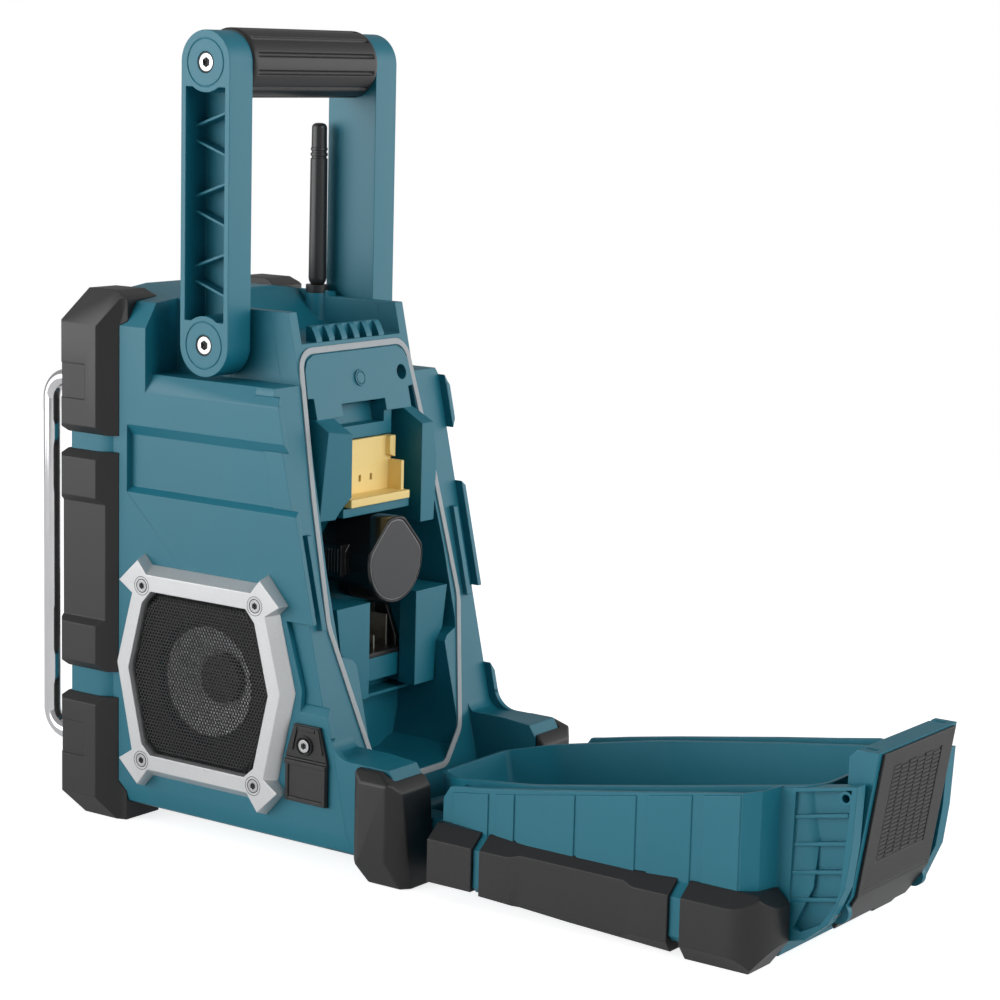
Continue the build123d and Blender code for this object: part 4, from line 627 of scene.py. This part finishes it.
def antenna():
    """Soft rod, thinner to the top, with two ring grooves under its tip."""
    foot_z, foot_radius = 292, 5
    tip_z, tip_radius, tip_flat = 374.4, 2.5, 1.7
    profile = [(287.0, 0.05)]
    profile += [(foot_z - foot_radius * math.cos(a), foot_radius * math.sin(a))
                for a in (0.3, 0.6, 0.9, 1.25)]
    profile += [(foot_z, foot_radius), (357.6, 4.75), (357.8, 4.2), (358.9, 4.2), (359.1, 4.75),
                (360.6, 4.75), (360.8, 4.2), (361.9, 4.2), (362.1, 4.7), (363.4, 4.6), (363.7, 4.3),
                (374.2, 4.2)]
    profile += [(tip_z + tip_radius * math.sin(a), tip_flat + tip_radius * math.cos(a))
                for a in (0.1, 0.4, 0.7, 1.0, 1.3)]
    profile += [(377.0, 1.5), (377.0, 0.05)]
    shape = Shape().lathe(
        profile, lambda z, r, a: (ANTENNA_X + r * math.cos(a), ANTENNA_Y + r * math.sin(a), z), 40)
    return shape.mesh("antenna_rod_rings")


finished("antenna_rod_grooved", antenna(), "antenna", "antenna_black", "antenna_rod")


# ---------------------------------------------------------------- latch face

LATCH_Y, LATCH_Z, LATCH_SLOPE = 468.3, 32.3, 0.1555
# Half width, lower edge, upper edge and depth.
BRICK_FIELD = (24.5, 50.4, 98.6, 0.5)
GROOVES = [(33.0, 38.0, 38.6, 0.35), (33.0, 34.6, 35.2, 0.35)]


def latch_face(z, inset):
    """y of the leaning pad's outer face, moved in by inset."""
    return LATCH_Y + (z - LATCH_Z) * LATCH_SLOPE - inset


def latch_skin():
    """What is cut from the black skin: a field for the small bricks, and two grooves below it."""
    cutters, reach = Shape(), 4
    for x, low, high, depth in (BRICK_FIELD, *GROOVES):
        floor = [(-x, latch_face(low, depth), low), (x, latch_face(low, depth), low),
                 (x, latch_face(high, depth), high), (-x, latch_face(high, depth), high)]
        cutters.prism(floor, [(px, py + reach, pz) for px, py, pz in floor])
    return cutters


def latch_bricks():
    """Stacks of small sloping bricks, every second stack half a brick higher."""
    half_width, half_height, rise, slope, foot = 3.75, 0.81, 0.42, 0.25, -0.05
    column, row, stacks, lines, first_z = 8.05, 2.1, 6, 22, 51.8
    tile = Shape().prism(rectangle(lambda z, x: (x, foot, z), half_height, half_width),
                         rectangle(lambda z, x: (x, rise, z), half_height - slope, half_width - slope))
    places = []
    for stack in range(stacks):
        for line in range(lines):
            z = first_z + line * row + (stack % 2) * row / 2
            places.append(((stack - (stacks - 1) / 2) * column, latch_face(z, BRICK_FIELD[3]), z))
    lean = (-math.atan(LATCH_SLOPE), 0, 0)
    return repeated("latch_bricks", tile, places, MATERIALS["bumper_black"], [lean] * len(places))


rounded("latch_pad", 0.3, carve=latch_skin())
finished("latch_pad_bricks", latch_bricks(), "latch", "bumper_black")


# ---------------------------------------------------------------- battery

def battery_outline(radius, flat):
    """Round outline with two flats at the shoulders, whose corners are eased."""
    steps, sharpness = 96, 1.6
    points = []
    for i in range(steps):
        a = 2 * math.pi * i / steps
        reach = radius
        for tilt in (44, 136):
            c = math.cos(a - math.radians(tilt))
            if c > 0.2:
                reach = -math.log(math.exp(-reach * sharpness) + math.exp(-flat / c * sharpness)) / sharpness
        points.append((reach * math.cos(a), reach * math.sin(a)))
    return points


def battery_plate(radius, flat, front, back):
    """Plate with the battery's outline between two places along y."""
    outline = battery_outline(radius, flat)[::-1]
    return Shape().prism([(x, front, BATTERY_Z + z) for x, z in outline],
                         [(x, back, BATTERY_Z + z) for x, z in outline])


POCKET_FLOOR, PAST_END = 167.4, 170     # y of the end's shallow pocket, and a place beyond the end
PLATE_FRONT = 167.0                     # y at which the plates start, sunk into the pocket's floor
rounded("battery_case", 1.0, segments=3, carve=battery_plate(21.9, 18.8, POCKET_FLOOR, PAST_END))
for name, material, radius, flat, back in (("battery_label_rim", RIM_LINE, 21.5, 18.4, 167.75),
                                           ("battery_end_label", LABEL, 21.0, 17.9, 167.95)):
    plate = battery_plate(radius, flat, PLATE_FRONT, back).mesh(name)
    plate.materials.append(material)
    finished(name, plate, "battery", "battery_black")


def wing_ribs():
    """Finger ribs on the battery's release button."""
    count, pitch = 8, 2.0
    tile = Shape().prism(rectangle(lambda y, z: (0, y, z), 0.4, 6.5),
                         rectangle(lambda y, z: (0.7, y, z), 0.25, 5.8))
    places = [(26.9, 136 + i * pitch, BATTERY_Z + 0.5) for i in range(count)]
    return repeated("wing_ribs", tile, places, MATERIALS["battery_black"])


both_sides("battery_ribs", wing_ribs(), "battery", "battery_black")


# ---------------------------------------------------------------- cover sides

# Outer face of the right side wall, as x and y.
COVER_PLAN = [(64.0, 250.0), (64.8, 262.0), (67.3, 276.0), (69.2, 305.0), (69.2, 369.0), (67.5, 400.0),
              (67.5, 424.0)]
# Where each raised panel starts and ends along y.
COVER_PANELS = [(256.0, 280.6), (285.0, 297.0), (298.0, 332.8), (333.8, 367.6), (373.6, 397.4),
                (403.0, 423.5)]
PANEL_FOOT, PANEL_RISE, PANEL_SLOPE = 33.0, 0.6, 0.5
RIM_Y, RIM_Z, RIM_CLIMB, RIM_STEP = 257.6, 56.2, 0.178, 2.2


def cover_wall(y):
    """Outer face of the cover's side wall."""
    for (xa, ya), (xb, yb) in zip(COVER_PLAN, COVER_PLAN[1:]):
        if y <= yb:
            return xa + (xb - xa) * (y - ya) / (yb - ya)
    return COVER_PLAN[-1][0]


def panel_top(y):
    """Upper edge of the panels, which keeps a step below the rising rim."""
    return RIM_Z + (y - RIM_Y) * RIM_CLIMB - RIM_STEP


def cover_panels():
    """Shallow raised panels between the grooves of the side wall."""
    shape = Shape()
    for y0, y1 in COVER_PANELS:
        steps = [y0 + (y1 - y0) * i / 4 for i in range(5)]
        low = [(cover_wall(y) - 0.2, y, PANEL_FOOT) for y in steps]
        low += [(cover_wall(y) - 0.2, y, panel_top(y)) for y in reversed(steps)]
        high = [(cover_wall(y) + PANEL_RISE, min(max(y, y0 + PANEL_SLOPE), y1 - PANEL_SLOPE),
                 z + (PANEL_SLOPE if z == PANEL_FOOT else -PANEL_SLOPE)) for x, y, z in low]
        shape.prism(low, high)
    return shape.mesh("cover_side_panels_right")


both_sides("cover_side_panels", cover_panels(), "cover", "housing_teal")


# ---------------------------------------------------------------- port covers

# How far bars and the flap's lip stand above the plain face, and how far their feet reach below it.
BAR_RISE, LIP_RISE, SUNK = 0.7, 1.0, 0.1
# Two slanted bars and the one between them, as y and z.
PORT_COVER_BARS = [
    [(157.9, 61.0), (160.8, 61.0), (164.6, 74.6), (162.4, 74.6)],
    [(178.5, 61.0), (181.4, 61.0), (177.6, 74.6), (175.4, 74.6)],
    [(164.2, 71.6), (175.8, 71.6), (175.8, 74.6), (164.2, 74.6)],
]


def relief(points, rise):
    """Low raised pad with sloping edges on the right side; points are (y, z), counter-clockwise."""
    slope = 0.35
    middle_y = sum(y for y, z in points) / len(points)
    middle_z = sum(z for y, z in points) / len(points)

    def pull(value, middle):
        return value + (slope if value < middle else -slope)
    return ([(PORT_FACE - SUNK, y, z) for y, z in points],
            [(PORT_FACE + rise, pull(y, middle_y), pull(z, middle_z)) for y, z in points])


def flap_relief():
    """Raised frame of the rubber flap, with a thicker lip along its hinge."""
    shape = Shape()
    for y0, y1, z0, z1, rise in ((156.2, 158.6, 33.7, 53.2, BAR_RISE), (180.7, 183.1, 33.7, 53.2, BAR_RISE),
                                 (158.3, 181.0, 33.7, 36.4, BAR_RISE), (155.6, 183.4, 53.0, 56.0, LIP_RISE)):
        shape.prism(*relief([(y0, z0), (y1, z0), (y1, z1), (y0, z1)], rise))
    return shape.mesh("flap_relief_right")


def cover_relief():
    """Raised bars of the fixed upper piece, and the collar round its screw."""
    shape = Shape()
    for bar in PORT_COVER_BARS:
        shape.prism(*relief(bar, BAR_RISE))
    collar = [(PORT_FACE - SUNK, 5.4), (PORT_FACE + BAR_RISE, 5.2),
              (PORT_FACE + BAR_RISE, 4.3), (PORT_FACE - SUNK, 4.2)]
    shape.lathe(collar, lambda x, r, a: (x, PORT_Y + r * math.cos(a), PORT_SCREW_Z + r * math.sin(a)), 32,
                closed=True)
    return shape.mesh("port_cover_relief_right", smooth=30)


both_sides("flap_relief", flap_relief(), "flap_{side}", "bumper_black")
both_sides("port_cover_relief", cover_relief(), "housing", "black_plastic")


# ---------------------------------------------------------------- painted shade in screw recesses

BEZEL_SCREWS = [(80.0, SPEAKER_Y + y, SPEAKER_Z + z) for y in (-39.4, 39.4) for z in (-47.7, 47.7)]
# Radius and depth of the hexagon socket, inner and outer radius of the painted shade in the joint round the
# head.
BOLT_SIZES = (2.5, 1.95, 4.55, 5.3)
SCREWS = (
    ("bezel_screw_recesses", BEZEL_SCREWS, (1.75, 1.38, 3.35, 3.75), "housing"),
    ("port_screw_recesses", [(76.4, PORT_Y, PORT_SCREW_Z)], (1.75, 1.38, 3.35, 3.6), "housing"),
    ("pivot_bolt_recesses", [(BOLT_FACE, HANDLE_Y, PIVOT_Z)], BOLT_SIZES, "housing"),
    ("grip_bolt_recesses", [(BOLT_FACE, HANDLE_Y, GRIP_Z)], BOLT_SIZES, "handle"),
)


def recess_tile(hexagon, depth, inner, outer):
    """Painted shade: a dark plate on the floor of a hexagon socket, and two dark rings round the head, whose
    face is at x = 0.
    """
    tile = Shape()
    corners = [(hexagon * math.cos(math.radians(60 * i)), hexagon * math.sin(math.radians(60 * i)))
               for i in range(6)]
    tile.prism([(-depth, y, z) for y, z in corners], [(0.1 - depth, y, z) for y, z in corners])
    for low, high in ((inner, outer), (outer + 1.1, outer + 1.4)):
        tile.lathe([(-0.3, low), (0.04, low), (0.04, high), (-0.3, high)],
                   lambda x, r, a: (x, r * math.cos(a), r * math.sin(a)), 24, closed=True)
    return tile


def recesses(name, places, sizes):
    """Painted shade in the recesses of screws on the right side and of their twins on the left."""
    turned = [(0, 0, 0)] * len(places) + [(0, 0, math.pi)] * len(places)
    both = list(places) + [(-x, y, z) for x, y, z in places]
    return repeated(name, recess_tile(*sizes), both, RECESS_SHADE, turned)


for name, places, sizes, body in SCREWS:
    finished(name, recesses(name, places, sizes), body, "screw_steel")


# ---------------------------------------------------------------- speaker baffle

def reach_of(outline, angle):
    """Distance from the middle to an outline in one direction."""
    reach = math.inf
    for (y0, z0), (y1, z1) in zip(outline, outline[1:] + outline[:1]):
        ny, nz = z1 - z0, y0 - y1
        across = ny * math.cos(angle) + nz * math.sin(angle)
        if across > 1e-6:
            reach = min(reach, (ny * y0 + nz * z0) / across)
    return reach


def baffle():
    """Black gasket plate between the grille and the speaker, with the speaker's round hole."""
    back, front, hole, gap, steps = 73.02, 73.4, 33.4, 0.3, 72
    outline = whole(OPENING)
    points = []
    for x, inside in ((back, False), (front, False), (front, True), (back, True)):
        for i in range(steps):
            a = 2 * math.pi * i / steps
            reach = hole if inside else reach_of(outline, a) - gap
            points.append((x, SPEAKER_Y + reach * math.cos(a), SPEAKER_Z + reach * math.sin(a)))
    mesh = Shape().add(points, wrapped(4, steps, closed=True)).mesh("speaker_baffle_right")
    mesh.materials.append(MATERIALS["grille_steel"])
    return mesh


both_sides("speaker_baffle", baffle(), "housing", "frame_steel")


# ---------------------------------------------------------------- front controls

def display_marks():
    """Plain level bars and tick marks on the display, with no words or figures."""
    shape = Shape()
    front, back, left = 4.3, 4.45, -28

    def bar(x, width, low, high):
        shape.box(x, x + width, front, back, low, high)
    for i in range(6):
        bar(left + i * 3.4, 2.2, 212, 214 + i * 1.9)
    for i in range(21):
        bar(left + i * 2.75, 0.8, 194, 199 if i % 5 == 0 else 196.6)
    for low in (212, 221):
        bar(8, 19, low, low + 1.4)
    mesh = shape.mesh("display_marks")
    mesh.materials.append(SEGMENTS)
    return mesh


def knob_ribs(name, x):
    """Grip ribs round a knob, whose middle is at x."""
    count, foot, top, y = 30, -0.2, 0.7, -2.4
    rib = Shape().prism(rectangle(lambda a, b: (a, b, foot), 0.55, 4.2),
                        rectangle(lambda a, b: (a, b, top), 0.25, 3.8))
    angles = [2 * math.pi * i / count for i in range(count)]
    places = [(x + KNOB_RADIUS * math.sin(a), y, KNOB_Z + KNOB_RADIUS * math.cos(a)) for a in angles]
    return repeated(name, rib, places, MATERIALS["black_plastic"], [(0, a, 0) for a in angles])


finished("display_marks", display_marks(), "housing", "screen_module")
for side, x in (("left", -KNOB_X), ("right", KNOB_X)):
    finished(f"knob_ribs_{side}", knob_ribs(f"knob_ribs_{side}", x), f"knob_{side}", "black_plastic")


# ---------------------------------------------------------------- floor, light and camera

FLOOR_HALF, FLOOR_Z = 1.4, -0.0002      # metres; just under the feet
FLOOR_PAINT = rgb(0.8, 0.8, 0.8)
# Share of the white surround that gloss shows, in the floor and in the world.
FLOOR_GLOSS, WORLD_GLOSS = 0.4, 0.25
ROOM_LIGHT = 0.20
# Direction, radiance, and the angles from the axis at which the edge starts and ends to fade.
LIGHT_PANELS = [((0.82, -0.57, 0.0), 5.6, 18, 41), ((-0.80, 0.57, -0.10), 2.9, 18, 42),
                ((-0.20, 0.95, 0.25), 2.2, 10, 28)]


def white_rays(nodes, gloss):
    """How far a ray shows the white surround: in full to the eye and through glass, partly in gloss."""
    seen = nodes.add("LightPath", output="Is Camera Ray")
    through = nodes.add("LightPath", output="Is Transmission Ray")
    return seen + through + nodes.add("LightPath", output="Is Glossy Ray") * gloss


def stage_material():
    """White floor: shows white to the eye and keeps the object's soft shadow."""
    material = bpy.data.materials.new("studio_floor")
    material.use_nodes = True
    nodes = Nodes(material.node_tree)
    paint = nodes.add("BsdfDiffuse", None, {"Color": FLOOR_PAINT})
    lift = nodes.mix(white_rays(nodes, FLOOR_GLOSS), rgb(0, 0, 0), FLOOR_PAINT)
    glow = nodes.add("Emission", None, {"Color": lift, "Strength": 1.0})
    both = nodes.add("AddShader", None, {0: paint, 1: glow})
    nodes.add("OutputMaterial", None, {"Surface": both})
    return material


def add_floor():
    corners = rectangle(lambda x, y: (x, y, FLOOR_Z), FLOOR_HALF, FLOOR_HALF)
    mesh = bpy.data.meshes.new("studio_floor")
    mesh.from_pydata(corners, [], [(0, 1, 2, 3)])
    mesh.materials.append(stage_material())
    new_object("studio_floor", mesh)


def light_panel(nodes, place, axis, radiance, inner, outer):
    """Light from a round patch of the surround whose edge fades."""
    facing = nodes.add("VectorMath", {"operation": "DOT_PRODUCT"}, {0: place, 1: Vector(axis).normalized()},
                       output="Value")
    fade = nodes.add("MapRange", {"interpolation_type": "SMOOTHSTEP"}, {
        "Value": facing, "From Min": math.cos(math.radians(outer)), "From Max": math.cos(math.radians(inner)),
        "To Min": 0.0, "To Max": radiance})
    return nodes.add("Background", None, {"Strength": fade})


def add_world():
    """Three soft round panels in a dim room; white where the camera looks."""
    world = bpy.data.worlds.new("studio")
    bpy.context.scene.world = world
    world.use_nodes = True
    nodes = Nodes(world.node_tree)
    place = nodes.add("TexCoord", output="Generated")
    light = nodes.add("Background", None, {"Strength": ROOM_LIGHT})
    for panel in LIGHT_PANELS:
        light = nodes.add("AddShader", None, {0: light, 1: light_panel(nodes, place, *panel)})
    white = nodes.add("Background", None, {"Color": rgb(1, 1, 1)})
    seen = nodes.add("MixShader", None, {0: white_rays(nodes, WORLD_GLOSS), 1: light, 2: white})
    nodes.add("OutputWorld", None, {"Surface": seen})


def add_softbox():
    """Broad lamp behind the radio; lengths in metres, power in watts."""
    place, aim = Vector((0.2, 2.4, 1.3)), Vector((0, 0.1, 0.15))
    lamp = bpy.data.lights.new("rear_softbox", "AREA")
    lamp.shape = "RECTANGLE"
    lamp.size, lamp.size_y = 1.4, 1.2
    lamp.energy = 17
    box = new_object("rear_softbox", lamp)
    box.location = place
    box.rotation_euler = (aim - place).to_track_quat("-Z", "Y").to_euler()


def add_camera():
    """Camera behind the right-hand side, a little above the radio."""
    lens = bpy.data.cameras.new("photo_view")
    lens.sensor_width = 36.0
    lens.lens = 97.37
    lens.clip_start = 0.05
    camera = new_object("photo_view", lens)
    right = Vector((-0.58275, 0.81227, 0.02488))
    up = Vector((-0.11949, -0.11593, 0.98604))
    back = Vector((0.80382, 0.57164, 0.16462))
    turn = Matrix((right, up, back)).transposed().to_4x4()
    camera.matrix_world = Matrix.Translation(at(1117.49, 1029.17, 419.73)) @ turn
    bpy.context.scene.camera = camera


add_floor()
add_world()
add_softbox()
add_camera()
bpy.context.scene.view_settings.view_transform = "Standard"
